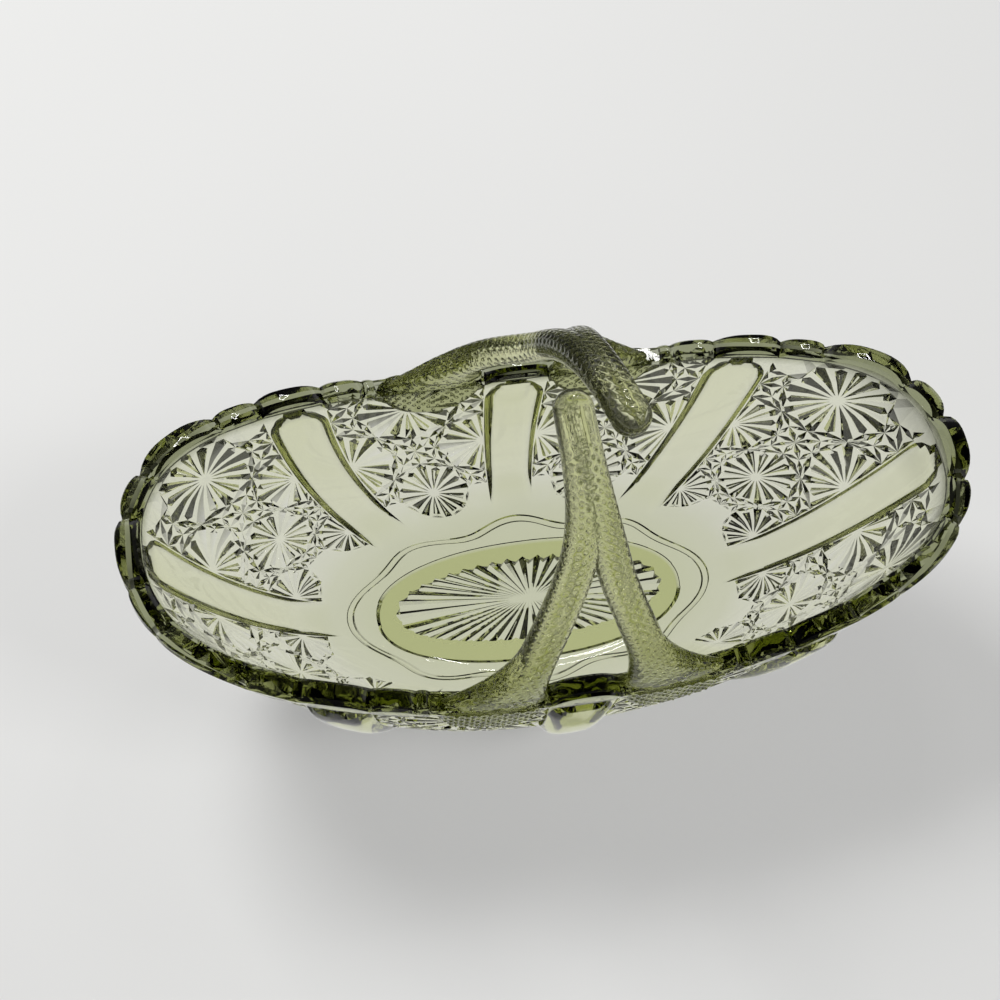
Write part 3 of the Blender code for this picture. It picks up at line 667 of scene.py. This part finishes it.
class FlatSheet:
    """Outer wall laid out flat: points of (share of the girth, level, height), and creases between them."""

    def __init__(self):
        self.layers = []
        self.creases = []
        self.count = 0

    def add(self, share, level, height):
        """Put in a block of points and give their numbers."""
        block = np.stack(np.broadcast_arrays(share, level, height), axis=-1)
        first, self.count = self.count, self.count + block.size // 3
        self.layers.append(block.reshape(-1, 3))
        return np.arange(first, self.count).reshape(block.shape[:-1])

    def chain(self, numbers):
        """Keep the edge from each point to the next as a crease."""
        self.creases.append(np.stack([numbers[:-1], numbers[1:]], axis=-1))

    def bend(self, start):
        """Join the points into triangles that keep every crease, and bend them onto the wall."""
        flat = np.concatenate(self.layers)
        origin, spread = np.array([start, 0.0]), np.array([1.0 / PERIOD, SHEET_HEIGHT])
        laid, creases = (flat[:, :2] - origin) * spread, np.concatenate(self.creases)
        joined = delaunay_2d_cdt(laid.tolist(), creases.tolist(), [], 0, SHEET_NEAR, True)
        places, _, triangles, sources = joined[:4]
        height = np.array([flat[source[0], 2] if source else 0.0 for source in sources])
        share, level = (np.array(places) / spread + origin).T
        points = wall_point(share, level * band_foot(share), WALL_THICKNESS + height)
        return points, [np.array(triangles)]


def add_collar(sheet, place):
    """The wavy bead above the foot, over one period; gives its points and the level that clears it."""
    share = np.linspace(place * PERIOD, (place + 1) * PERIOD, COLLAR_COLUMNS)
    bead = np.array(COLLAR_BEAD)
    levels = np.array([collar_level(share, beside) for beside in bead[:, 0]])
    numbers = sheet.add(share, levels, COLLAR_RISE * bead[:, 1:])
    for row in numbers:
        sheet.chain(row)
    return numbers, levels.max() + COLLAR_MARGIN


def add_flute(sheet, flute, side, collar_end):
    """Half of a flute: rows of points across it that swell out of the wall, and the lines around it."""
    middle = flute * PERIOD
    at = np.linspace(0.0, 1.0, FLUTE_ROWS + 1)
    lowest = above_collar(middle)
    body = at[(flute_end(flute, at) > FLUTE_END_LEAST) & (at > lowest)]
    across = (1.0 - (1.0 - np.linspace(0.0, 1.0, FLUTE_COLUMNS)) ** FLUTE_CROWDING)[None, :]
    end = flute_end(flute, body)[:, None]
    width = flute_half(flute, body)[:, None] * end
    fade = np.clip((body - lowest) / FLUTE_FOOT_FADE, 0.0, 1.0)[:, None]
    swell = FLUTE_BULGE * end**FLUTE_END_SOFTNESS * (1.0 - across**FLUTE_FULLNESS) * fade
    numbers = sheet.add(middle + side * width * across, body[:, None], swell)
    sheet.chain(numbers[:, -1])
    sheet.chain(np.concatenate([sheet.add(np.array([middle]), 0.0, 0.0), collar_end, numbers[:, 0]]))
    sheet.chain(numbers[-1, :])
    above = at[at > body[-1]]
    sheet.chain(np.concatenate([numbers[-1:, 0], sheet.add(np.full(above.shape, middle), above, 0.0)]))
    beside = at[(at > lowest) & (at < 1.0)]
    edge = flute_half(flute, beside) + girth_share(FLUTE_EDGE, middle, beside)
    sheet.chain(sheet.add(middle + side * edge, beside, 0.0))


def add_stars(sheet, place):
    """The carved facets of the panel after a flute, down to the collar; gives their lowest level."""
    at_end = place % 4 in (0, 3)
    rows = STAR_ROWS_AT_ENDS if at_end else STAR_ROWS_AT_SIDES
    first = FIRST_STAR_AT_ENDS if at_end else FIRST_STAR_AT_SIDES
    field, edges = cut_field(rows, first, not at_end)
    ladder_level, down, half_width = panel_ladder(place)
    level = np.interp(field[:, 1], down, ladder_level)
    height = field[:, 2] * np.interp(field[:, 1], down, half_width)
    margin = girth_share(2.0 * FLUTE_EDGE, (place + 0.5) * PERIOD, level)
    left, right = panel_edges(place, level, margin, margin)
    share = left + (right - left) * (field[:, 0] + 1.0) / 2
    inside = level > above_collar(share)
    numbers = np.full(len(field), -1)
    numbers[inside] = sheet.add(share[inside], level[inside], height[inside])
    sheet.creases.append(numbers[edges[np.all(inside[edges], axis=1)]])
    return level[inside].min()


def add_plain(sheet, place, low, high):
    """A grid of points on the plain glass between the collar and the lowest stars."""
    level = low + (high - low) * np.linspace(0.0, 1.0, PLAIN_ROWS)[:-1, None]
    margins = [girth_share(FLUTE_EDGE, flute * PERIOD, level) for flute in (place, place + 1)]
    left, right = panel_edges(place, level, *margins)
    lane = np.linspace(PLAIN_EDGE, 1.0 - PLAIN_EDGE, PLAIN_COLUMNS)
    sheet.add(left + (right - left) * lane, level, 0.0)


def outer_period(place, rim_shares):
    """Outer wall from the middle of one flute to the middle of the next, laid out flat and then bent."""
    start, end = place * PERIOD, (place + 1) * PERIOD
    sheet = FlatSheet()
    collar, highest_bead = add_collar(sheet, place)
    add_flute(sheet, place, 1.0, collar[:, 0])
    add_flute(sheet, place + 1, -1.0, collar[:, -1])
    lowest_star = add_stars(sheet, place)
    if lowest_star > highest_bead:
        add_plain(sheet, place, highest_bead, lowest_star)
    sheet.add(rim_shares[(rim_shares > start + SHARE_NEAR) & (rim_shares < end - SHARE_NEAR)], 1.0, 0.0)
    sheet.add(np.arange(1, BASE_STATIONS // FLUTES) / BASE_STATIONS + start, 0.0, 0.0)
    return sheet.bend(start)


def bowl_surfaces():
    """The bowl's surfaces: rim band, inside, foot with its star, and eight stretches of outer wall."""
    share, rise, swell = rim_stations()
    stations = np.sort(np.mod(share, 1.0))
    walls = [outer_period(place, stations) for place in range(FLUTES)]
    return [rim_surface(share, rise, swell), inside_surface(share), base_surface(), *walls]


def round_section():
    """Two rows of factors that draw a soft-cornered section around a bar."""
    return soft_turn(np.arange(ARM_SIDES) * 2.0 * np.pi / ARM_SIDES, SECTION_SOFTNESS)


def hermite(start, start_pull, end, end_pull, steps):
    """A cubic curve between two places with a given pull at each, and its direction."""
    shape = np.array([[1, 0, 0, 0], [0, 1, 0, 0], [-3, -2, 3, -1], [2, 1, -2, 1]])
    terms = shape @ np.stack([start, start_pull, end, end_pull])
    powers = steps[:, None] ** np.arange(4)
    return powers @ terms, unit(powers[:, :3] * np.arange(1, 4) @ terms[1:])


def bar_surface(centres, tangents, widths, depths, side):
    """Rings around a path: the width axis runs along the bowl, the depth axis away from its middle."""
    across, deep = round_section()
    along_bowl = np.array([-side, 0.0, 0.0])
    width_axis = unit(along_bowl - tangents * (tangents @ along_bowl)[:, None])
    depth_axis = np.cross(width_axis, tangents)
    return (
        centres[:, None]
        + across[None, :, None] * width_axis[:, None] * widths[:, None, None] / 2
        + deep[None, :, None] * depth_axis[:, None] * depths[:, None, None] / 2
    )


def nail_bumps(along, around, outer):
    """Height of round bumps in staggered rows: where cos(x) cos(y), for ways x and y, is above a level."""
    wave = np.cos(np.pi * along / HOBNAIL) * np.cos(np.pi * around / HOBNAIL)
    raised = np.clip((wave - HOBNAIL_LEVEL) / (1.0 - HOBNAIL_LEVEL), 0.0, None)
    return HOBNAIL_RISE * raised**HOBNAIL_ROUNDING * outer


def hobnails(rings, outer):
    """Push a bar out in bumps, as far as outer says; also gives the ways along and around it."""
    steps = norm(np.diff(rings, axis=0)).mean(axis=1)
    along = np.concatenate([[0.0], np.cumsum(steps)])[:, None]
    around = np.cumsum(norm(np.roll(rings, -1, axis=1) - rings), axis=1)
    around = around - around[:, [rings.shape[1] // 4]]
    round_way = np.roll(rings, -1, axis=1) - np.roll(rings, 1, axis=1)
    normal = unit(np.cross(round_way, np.gradient(rings, axis=0)))
    ways = np.stack(np.broadcast_arrays(along, around, outer), axis=-1)
    return rings + normal * nail_bumps(along, around, outer)[..., None], ways


def bar_mesh(rings, ways):
    """A closed bar through rings of points, with a fan of faces on each end."""
    count, sides = rings.shape[:2]
    points = np.concatenate([rings.reshape(-1, 3), rings[:1].mean(axis=1), rings[-1:].mean(axis=1)])
    ways = np.concatenate([ways.reshape(-1, 3), np.zeros((2, 3))])
    first, last = np.arange(sides), np.arange(sides) + (count - 1) * sides
    ends = [fan_faces(first[::-1], len(points) - 2), fan_faces(last, len(points) - 1)]
    return points, [grid_faces(count, sides, True), *ends], ways


def arm_ends(side):
    """Fork and tip of an arm, and the ways that its stem points there."""
    pass_by = side * (STEM_TIP_WIDTH + BOND_GAP) / 2
    fork = np.array([FORK_SWAY[side], side * FORK_OUT, SIDE_RIM_HEIGHT + FORK_HEIGHT])
    tip = np.array([pass_by + TIP_SWAY[side], -TIP_REACH[side], SIDE_RIM_HEIGHT + STEM_TOP_HEIGHT])
    return fork, tip, unit(np.array([0.0, -side * STEM_FORK_SLOPE, 1.0])), unit(np.array(TIP_WAYS[side]))


def arm_half(side, turn):
    """Half of an arm, from the rim over the fork to the tip: a bar that flares along the rim at its foot.

    Below the fork it is a leg. Above the fork it lies beside the other half and closes in on the stem's
    middle line as the stem narrows, so that the seam between the halves fades out.
    """
    fork, tip, fork_way, tip_way = arm_ends(side)
    along_bowl = np.array([-side, 0.0, 0.0])
    seat_share = SIDE_FLUTE[side] + turn * rim_share((FLUTE_SCALLOP + LEG_SEAT) / 2)
    stand_share = seat_share - turn * rim_share(LEG_INSET)
    across, deep = round_section()
    share = seat_share + across * rim_share(LEG_SEAT / 2 - SEAT_MARGIN)
    depth = RIM_THICKNESS / 2 + deep * (RIM_THICKNESS / 2 - SEAT_EDGE)
    up = unit(skin_slopes(share, 1.0)[1])
    outline = wall_point(share, 1.0, depth) - up * SEAT_SINK
    start = wall_point(stand_share, 1.0, RIM_THICKNESS / 2)
    rise = unit(skin_slopes(stand_share, 1.0)[1])

    stem_reach = norm(tip - fork)
    rounding = STEM_TIP_ROUND / stem_reach
    tip_turn = np.linspace(0.0, np.pi / 2, TIP_RINGS + 1)[1:]
    body = np.linspace(0.0, 1.0 - rounding, int(stem_reach / ARM_STEP))
    steps = np.concatenate([body, 1.0 - rounding + rounding * np.sin(tip_turn)])
    shrink = np.concatenate([np.ones(len(body)), np.maximum(np.cos(tip_turn), TIP_LEAST)])
    middle, ways = hermite(fork, fork_way * stem_reach, tip, tip_way * stem_reach, steps)
    fork_width = 2.0 * LEG_WIDTH + BOND_GAP
    stem_width = STEM_TIP_WIDTH + (fork_width - STEM_TIP_WIDTH) * (1.0 - steps) ** STEM_TAPER
    bar_width = LEG_WIDTH + (STEM_TIP_WIDTH - LEG_WIDTH) * steps
    bar_depth = LEG_DEPTH + (STEM_TIP_DEPTH - LEG_DEPTH) * steps
    width_axis = unit(along_bowl - ways * (ways @ along_bowl)[:, None])
    upper = middle + width_axis * (turn * (stem_width - bar_width) / 2)[:, None]

    reach = norm(upper[0] - start)
    lean = STEM_TAPER * (fork_width - STEM_TIP_WIDTH) / 2 / stem_reach
    leg_steps = np.linspace(0.0, 1.0, int(reach / ARM_STEP))[:-1]
    end_way = unit(fork_way - along_bowl * turn * lean)
    lower, lower_ways = hermite(start, rise * reach, upper[0], end_way * reach, leg_steps)
    leg_width = LEG_WIDTH + (LEG_BASE_WIDTH - LEG_WIDTH) * (1.0 - leg_steps) ** LEG_TAPER
    centres = np.concatenate([lower, upper])
    tangents = unit(np.gradient(centres, axis=0))
    tangents[0], tangents[-TIP_RINGS:] = lower_ways[0], ways[-TIP_RINGS:]
    widths = np.concatenate([leg_width, bar_width * shrink])
    depths = np.concatenate([np.full(len(lower), LEG_DEPTH), bar_depth * shrink])
    rings = bar_surface(centres, tangents, widths, depths, side)
    climbed = np.concatenate([leg_steps * reach, np.full(len(steps), SEAT_FLARE_HEIGHT)])
    flare = np.clip(1.0 - climbed / SEAT_FLARE_HEIGHT, 0.0, 1.0)[:, None, None] ** SEAT_FLARE_CURVE
    rings = rings * (1.0 - flare) + (outline[None] + (centres - start)[:, None]) * flare
    rough_stem = np.clip((SMOOTH_TIP[side] - steps) / SMOOTH_FADE, 0.0, 1.0)
    rough = np.concatenate([np.ones(len(lower)), rough_stem])[:, None]
    outer_face = np.clip(deep * HOBNAIL_SPREAD + 1.0, 0.0, 1.0)[None, :]
    return bar_mesh(*hobnails(rings, outer_face * rough + ARM_MARK))


def root_pad(side, turn):
    """Root of a leg: a tongue on the outside of the wall, under the leg's seat, with the same round bumps.

    Its lower edge is an arch, its face rises smoothly out of the wall, and its back lies inside the glass.
    """
    along = np.linspace(0.0, 1.0, int(LEG_SEAT / ARM_STEP))[None, :]
    down = np.linspace(0.0, 1.0, int(ROOT_DROP / ARM_STEP))[:, None]
    reach = FLUTE_SCALLOP / 2 + ROOT_MARGIN + (LEG_SEAT - 2 * ROOT_MARGIN) * along
    share = SIDE_FLUTE[side] + turn * rim_share(reach)
    drop = ROOT_MARGIN + ROOT_DROP * down * np.sqrt(1.0 - (2.0 * along - 1.0) ** 2 + ROOT_ARCH)
    slope = norm(skin_slopes(share, 1.0)[1])
    climb = 1.0 - drop / slope
    at_ends = np.minimum(1.0, np.minimum(along, 1.0 - along) / ROOT_EDGE)
    swell = at_ends * np.minimum(1.0, (1.0 - down) / ROOT_EDGE)
    swell = swell * (2.0 - swell)
    ways = np.stack(np.broadcast_arrays(LEG_SEAT * along, drop, swell + ARM_MARK), axis=-1)
    bumps = nail_bumps(*np.moveaxis(ways, -1, 0))
    outer = wall_point(share, climb, WALL_THICKNESS - ROOT_SINK + (ROOT_RISE + ROOT_SINK) * swell + bumps)
    outer[..., 1] = np.clip(outer[..., 1], -ROOT_LIMIT, ROOT_LIMIT)
    inner = wall_point(share, climb, WALL_THICKNESS - 2.0 * ROOT_SINK)
    rows, columns = drop.shape
    number = np.arange(rows * columns).reshape(rows, columns)
    border = np.concatenate([number[0], number[1:, -1], number[-1, -2::-1], number[-2:0:-1, 0]])
    ahead, back = np.roll(border, -1), rows * columns
    walls = np.stack([border, ahead, ahead + back, border + back], axis=-1)
    sheet = grid_faces(rows, columns, False)
    points = np.concatenate([outer.reshape(-1, 3), inner.reshape(-1, 3)])
    return points, [sheet, sheet[:, ::-1] + back, walls], np.tile(ways.reshape(-1, 3), (2, 1))


def weld(surfaces):
    """Points and faces of several surfaces as one list."""
    points, faces, start = [], [], 0
    for surface_points, face_sets in surfaces:
        points.append(np.reshape(surface_points, (-1, 3)))
        for face_set in face_sets:
            faces += (face_set + start).tolist()
        start += len(points[-1])
    return np.concatenate(points), faces


def make_mesh(name, surfaces, ways=None):
    """One closed object from surfaces, its faces turned outwards; ways tell where its hobnails are."""
    points, faces = weld(surfaces)
    mesh = bpy.data.meshes.new(name)
    mesh.from_pydata(points.tolist(), [], faces)
    nails = mesh.attributes.new("hobnail_ways", "FLOAT_VECTOR", "POINT")
    nails.data.foreach_set("vector", np.zeros(points.size) if ways is None else np.ravel(ways))
    body = bmesh.new()
    body.from_mesh(mesh)
    bmesh.ops.remove_doubles(body, verts=body.verts, dist=BODY_WELD)
    bmesh.ops.dissolve_degenerate(body, edges=body.edges, dist=SLIVER)
    bmesh.ops.recalc_face_normals(body, faces=body.faces)
    bmesh.ops.triangulate(body, faces=[face for face in body.faces if len(face.verts) > 3])
    body.to_mesh(mesh)
    body.free()
    piece = bpy.data.objects.new(name, mesh)
    bpy.context.scene.collection.objects.link(piece)
    return piece


def fuse(body, others):
    """Melt closed objects into one glass body, so that no inner faces are left between them."""
    for other in others:
        step = body.modifiers.new("melt", "BOOLEAN")
        step.operation, step.solver, step.object = "UNION", "MANIFOLD", other
        bpy.context.view_layer.update()
        melted = bpy.data.meshes.new_from_object(body.evaluated_get(bpy.context.evaluated_depsgraph_get()))
        body.modifiers.remove(step)
        body.data = melted
        bpy.data.objects.remove(other, do_unlink=True)
    body.data.materials.clear()
    body.data.polygons.foreach_set("material_index", np.zeros(len(body.data.polygons), dtype=np.int32))
    body.data.shade_smooth()
    body.data.set_sharp_from_angle(angle=np.radians(SHARP_ANGLE))


def blend(low, high, values, fade):
    """A colour per point: low below the fade, high above it, and a straight blend in between."""
    share = np.clip((values - fade[0]) / (fade[1] - fade[0]), 0.0, 1.0)[:, None]
    return low + (high - low) * share


def finish_skin(mesh, box):
    """Keep the glass inside the box of the solids, smooth the arms and write the colour of its skin.

    Thick glass holds more colour. The rim's grows up its band, and its dark there is painted shade too,
    for the dark that the thick rim shows. The foot's grows towards the table, and the arms go from the
    colour of their roots to that of their stems.
    """
    points = np.clip(mesh_array(mesh.vertices, "co", 3), *np.array(box, dtype=np.float32))
    mesh.vertices.foreach_set("co", points.ravel())
    arm = mesh_array(mesh.attributes["hobnail_ways"].data, "vector", 3)[:, 2] > ARM_MARK / 2
    sharp = mesh_array(mesh.attributes["sharp_edge"].data, "value", 1, bool)[:, 0]
    sharp &= ~arm[mesh_array(mesh.edges, "vertices", 2, np.int32)].all(axis=1)
    mesh.attributes["sharp_edge"].data.foreach_set("value", sharp)
    height = points[:, 2]
    above = height - rim_line(points[:, 0]) + RIM_BAND_HEIGHT
    # The rim's dark colour is painted shade, as well as the deeper colour of thick glass
    tint_and_shade = blend(CLEAR, RIM_TINT_AND_SHADE, above, RIM_TINT_AND_SHADE_FADE)
    tint_and_shade = blend(COLLAR_TINT, tint_and_shade, height, COLLAR_TINT_FADE)
    tint_and_shade = blend(FOOT_TINT, tint_and_shade, height, FOOT_TINT_FADE)
    arm_tint = blend(ROOT_TINT, STEM_TINT, above, STEM_TINT_FADE)
    arm_tint = blend(PAD_TINT, arm_tint, above, PAD_TINT_FADE)
    tint_and_shade = np.where(arm[:, None], arm_tint, tint_and_shade)
    # The skin colour carries the rim's painted shade
    skin = mesh.color_attributes.new("skin_tint_and_shade", "FLOAT_COLOR", "POINT")
    skin.data.foreach_set("color", np.column_stack([tint_and_shade, np.ones(len(tint_and_shade))]).ravel())


def feed(node, values):
    """Give inputs to a node: a pair of a node and its output is wired, anything else is set as a value."""
    for socket, value in values.items():
        if isinstance(value, tuple) and isinstance(value[0], bpy.types.Node):
            node.id_data.links.new(value[0].outputs[value[1]], node.inputs[socket])
        else:
            node.inputs[socket].default_value = value


def new_node(tree, kind, values=None, **settings):
    """A new shader node with its settings and inputs."""
    node = tree.nodes.new("ShaderNode" + kind)
    for name, value in settings.items():
        setattr(node, name, value)
    feed(node, values or {})
    return node


def calculated(tree, operation, *inputs):
    """The output of a math node, as a pair."""
    return new_node(tree, "Math", dict(enumerate(inputs)), operation=operation), 0


def new_group(name, values, outputs):
    """A shader group with its sockets, the node of what it is given and the node of what it puts out."""
    group = bpy.data.node_groups.new(name, "ShaderNodeTree")
    for socket, value in values.items():
        kind = "NodeSocketVector" if isinstance(value, tuple) else "NodeSocketFloat"
        group.interface.new_socket(socket, in_out="INPUT", socket_type=kind).default_value = value
    for socket in outputs:
        group.interface.new_socket(socket, in_out="OUTPUT", socket_type="NodeSocketFloat")
    return group, group.nodes.new("NodeGroupInput"), group.nodes.new("NodeGroupOutput")


def new_material(name):
    """A material with nodes: itself, its node tree and its main shader."""
    material = bpy.data.materials.new(name)
    material.use_nodes = True
    return material, material.node_tree, material.node_tree.nodes["Principled BSDF"]


def fire_polish_group():
    """Shader group for the skin of pressed glass: slow waves, fine grain, and where it is a little dull."""
    group, given, result = new_group("fire_polish", FIRE_POLISH, ("Height", "Roughness"))
    place = new_node(group, "TexCoord"), "Object"
    slow = {"Vector": place, "Scale": (given, "Wave Size"), "Detail": 1.0}
    wave = new_node(group, "TexNoise", slow), "Fac"
    fine = {"Vector": place, "Scale": (given, "Grain Size")}
    grain = new_node(group, "TexNoise", fine), "Fac"
    height = calculated(group, "MULTIPLY_ADD", grain, GRAIN_SHARE, wave)
    feed(result, {"Height": height, "Roughness": calculated(group, "MULTIPLY", wave, (given, "Dullness"))})
    return group


def hobnail_group():
    """Shader group for the hobnails: round bumps in staggered rows."""
    values = {"Ways": (0.0, 0.0, 0.0), **HOBNAIL_ROWS}
    group, given, result = new_group("hobnails", values, ("Height",))
    split = new_node(group, "SeparateXYZ", {0: (given, "Ways")})
    turns = [calculated(group, "MULTIPLY", (split, way), (given, "Turns")) for way in "XY"]
    both = calculated(group, "MULTIPLY", *[calculated(group, "COSINE", turn) for turn in turns])
    above = {"Value": both, "From Min": (given, "Level")}
    bump = new_node(group, "MapRange", above, interpolation_type="SMOOTHSTEP")
    feed(result, {"Height": calculated(group, "MULTIPLY", (bump, "Result"), (split, "Z"))})
    return group


def olive_glass(polish, nails):
    """Clear pressed glass, coloured by the depth of glass that light goes through and by a skin colour with
    painted shade on the rim.
    """
    material, tree, shader = new_material("olive_pressed_glass")
    shader.inputs["Metallic"].default_value = 0.0
    shader.inputs["IOR"].default_value = GLASS_IOR
    shader.inputs["Transmission Weight"].default_value = 1.0
    skin = new_node(tree, "Group", FIRE_POLISH, node_tree=polish)
    slow = {"Strength": POLISH_STRENGTH, "Distance": POLISH_RISE, "Height": (skin, "Height")}
    waves = new_node(tree, "Bump", slow)
    ways = new_node(tree, "Attribute", attribute_name="hobnail_ways")
    dots = new_node(tree, "Group", {"Ways": (ways, "Vector"), **HOBNAIL_ROWS}, node_tree=nails)
    round_tops = {"Strength": 1.0, "Distance": HOBNAIL_RISE, "Height": (dots, "Height")}
    raised = new_node(tree, "Bump", {**round_tops, "Normal": (waves, "Normal")})
    tint_and_shade = new_node(tree, "Attribute", attribute_name="skin_tint_and_shade")
    stain = {"Color": (*GLASS_DEPTH_COLOUR, 1.0), "Density": GLASS_DENSITY}
    depth = new_node(tree, "VolumeAbsorption", stain)
    # Base colour is the skin colour, with the rim's painted shade in it
    feed(shader, {"Base Color": (tint_and_shade, "Color"), "Roughness": (skin, "Roughness")})
    feed(shader, {"Normal": (raised, "Normal")})
    feed(tree.nodes["Material Output"], {"Volume": (depth, "Volume")})
    return material


def pale_table():
    """Plain pale material with a faint unevenness of tone, which glows a little to the camera.

    Through the glass it is bright under the basket and dim farther off, so that the facets stand out.
    """
    material, tree, shader = new_material("pale_table")
    place = new_node(tree, "TexCoord"), "Object"
    noise = new_node(tree, "TexNoise", {"Vector": place, "Scale": FLOOR_TONE_SIZE})
    tones = new_node(tree, "ValToRGB", {"Fac": (noise, "Fac")})
    tones.color_ramp.elements[0].color = (*FLOOR_DARK, 1.0)
    tones.color_ramp.elements[1].color = (*FLOOR_PALE, 1.0)
    away = new_node(tree, "VectorMath", {0: place}, operation="LENGTH")
    pool = {"From Min": POOL_INNER, "From Max": POOL_OUTER, "To Min": FLOOR_GLOW, "To Max": FAR_GLOW}
    edge = new_node(tree, "MapRange", {"Value": (away, "Value"), **pool})
    path = new_node(tree, "LightPath")
    camera = path, "Is Camera Ray"
    lift = new_node(tree, "Mix", {0: camera, 2: (edge, "Result"), 3: FLOOR_GLOW}, data_type="FLOAT")
    glow = new_node(tree, "Emission", {"Color": (tones, "Color"), "Strength": (lift, 0)})
    seen = calculated(tree, "MULTIPLY", camera, FLOOR_GLOW_SEEN)
    both = calculated(tree, "MAXIMUM", (path, "Is Transmission Ray"), (path, "Is Glossy Ray"))
    through = calculated(tree, "MULTIPLY_ADD", both, FLOOR_GLOW_THROUGH, seen)
    mix = new_node(tree, "MixShader", {"Fac": through, 1: (shader, "BSDF"), 2: (glow, "Emission")})
    feed(shader, {"Base Color": (tones, "Color"), "Roughness": FLOOR_ROUGHNESS})
    feed(tree.nodes["Material Output"], {"Surface": (mix, "Shader")})
    return material


def pale_floor():
    """Plain table top under the basket."""
    mesh = bpy.data.meshes.new("table_top")
    corners = [(x * FLOOR_REACH, y * FLOOR_REACH, 0.0) for x, y in ((-1, -1), (1, -1), (1, 1), (-1, 1))]
    mesh.from_pydata(corners, [], [(0, 1, 2, 3)])
    mesh.materials.append(pale_table())
    top = bpy.data.objects.new("table_top", mesh)
    top.location.z = -FLOOR_DROP
    bpy.context.scene.collection.objects.link(top)


def studio_world():
    """Surroundings: a room that is dim overhead, and low down a pale backdrop for what looks at it."""
    world = bpy.data.worlds.new("studio")
    bpy.context.scene.world = world
    world.use_nodes = True
    tree = world.node_tree
    place = new_node(tree, "TexCoord"), "Generated"
    way = new_node(tree, "VectorMath", {0: place, 1: DIM_SIDE}, operation="DOT_PRODUCT")
    room = new_node(tree, "ValToRGB", {"Fac": (way, "Value")})
    low, high = room.color_ramp.elements
    low.position, low.color = 0.0, (*ROOM_LOW, 1.0)
    high.position, high.color = ROOM_FADE, (*ROOM_HIGH, 1.0)
    split = new_node(tree, "SeparateXYZ", {0: place})
    height = {"Value": (split, "Z"), "From Min": BACKDROP_TOP, "From Max": BACKDROP_FOOT}
    band = new_node(tree, "MapRange", height)
    path = new_node(tree, "LightPath")
    looks = calculated(tree, "MAXIMUM", (path, "Is Glossy Ray"), (path, "Is Transmission Ray"))
    shown = calculated(tree, "MULTIPLY_ADD", looks, (band, "Result"), (path, "Is Camera Ray"))
    both = {0: shown, 6: (room, "Color"), 7: (*BACKDROP, 1.0)}
    pale = new_node(tree, "Mix", both, data_type="RGBA")
    feed(tree.nodes["Background"], {"Color": (pale, 2)})


def place_object(name, data, axes, place):
    """A light or camera in the scene, its own axes given as columns."""
    turn = np.eye(4)
    turn[:3, :3] = axes
    turn[:3, 3] = place
    thing = bpy.data.objects.new(name, data)
    thing.matrix_world = Matrix(turn.tolist())
    bpy.context.scene.collection.objects.link(thing)
    return thing


def soft_light(name, place, size, power, shine=False):
    """A soft light that faces the basket, seen in the gloss of the glass only where it shines."""
    lamp = bpy.data.lights.new(name, "AREA")
    lamp.shape, lamp.energy = "RECTANGLE", power
    lamp.size, lamp.size_y = size
    back = unit(np.array(place) - LIGHT_AIM)
    right = unit(np.cross((0.0, 0.0, 1.0), back))
    light = place_object(name, lamp, np.stack([right, np.cross(back, right), back], axis=1), place)
    light.visible_camera, light.visible_glossy, light.visible_transmission = False, shine, False


def studio_lights():
    """A window, a fill from the room, and a square frame of small lamps that shows in the gloss."""
    soft_light("window", **WINDOW)
    soft_light("room", **ROOM)
    for name, shift, size in (
        ("lamp_far", LAMP_BACK, LAMP_BAR),
        ("lamp_near", -LAMP_BACK, LAMP_BAR),
        ("lamp_left", -LAMP_ACROSS, LAMP_BAR[::-1]),
        ("lamp_right", LAMP_ACROSS, LAMP_BAR[::-1]),
    ):
        soft_light(name, LAMP_FRAME + shift, size, LAMP_POWER, True)


def photo_camera():
    """Camera at the photo's viewing angle, turned about its own line of sight by the photo's tilt."""
    azimuth, height, roll = np.radians((CAMERA_AZIMUTH, CAMERA_HEIGHT, CAMERA_ROLL))
    back = np.array([np.sin(azimuth) * np.cos(height), -np.cos(azimuth) * np.cos(height), np.sin(height)])
    right = np.array([np.cos(azimuth), np.sin(azimuth), 0.0])
    tilt = np.eye(3)
    tilt[:2, :2] = [[np.cos(roll), -np.sin(roll)], [np.sin(roll), np.cos(roll)]]
    axes = tilt @ np.stack([right, np.cross(back, right), back])
    data = bpy.data.cameras.new("photo_camera")
    data.lens, data.sensor_width, data.clip_start = CAMERA_LENS, CAMERA_SENSOR, CAMERA_NEAR
    place = np.array([0.0, 0.0, SIDE_RIM_HEIGHT]) - axes.T @ RIM_IN_VIEW
    bpy.context.scene.camera = place_object("photo_camera", data, axes.T, place)


def basket_glass():
    """The whole basket as one piece of glass: the bowl, with four half arms and their roots melted in."""
    bowl = make_mesh("basket_glass", bowl_surfaces())
    arms = []
    for side, turn in ((1, 1), (1, -1), (-1, 1), (-1, -1)):
        for name, shape in (("arm_half", arm_half), ("leg_root", root_pad)):
            points, faces, ways = shape(side, turn)
            arms.append(make_mesh(name, [(points, faces)], ways))
    fuse(bowl, arms)
    finish_skin(bowl.data, solid_box)
    bowl.data.materials.append(olive_glass(fire_polish_group(), hobnail_group()))
    return bowl


bowl = basket_glass()
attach(bowl, "root")
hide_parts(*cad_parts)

pale_floor()
studio_world()
studio_lights()
photo_camera()
bpy.context.scene.view_settings.view_transform = "Standard"
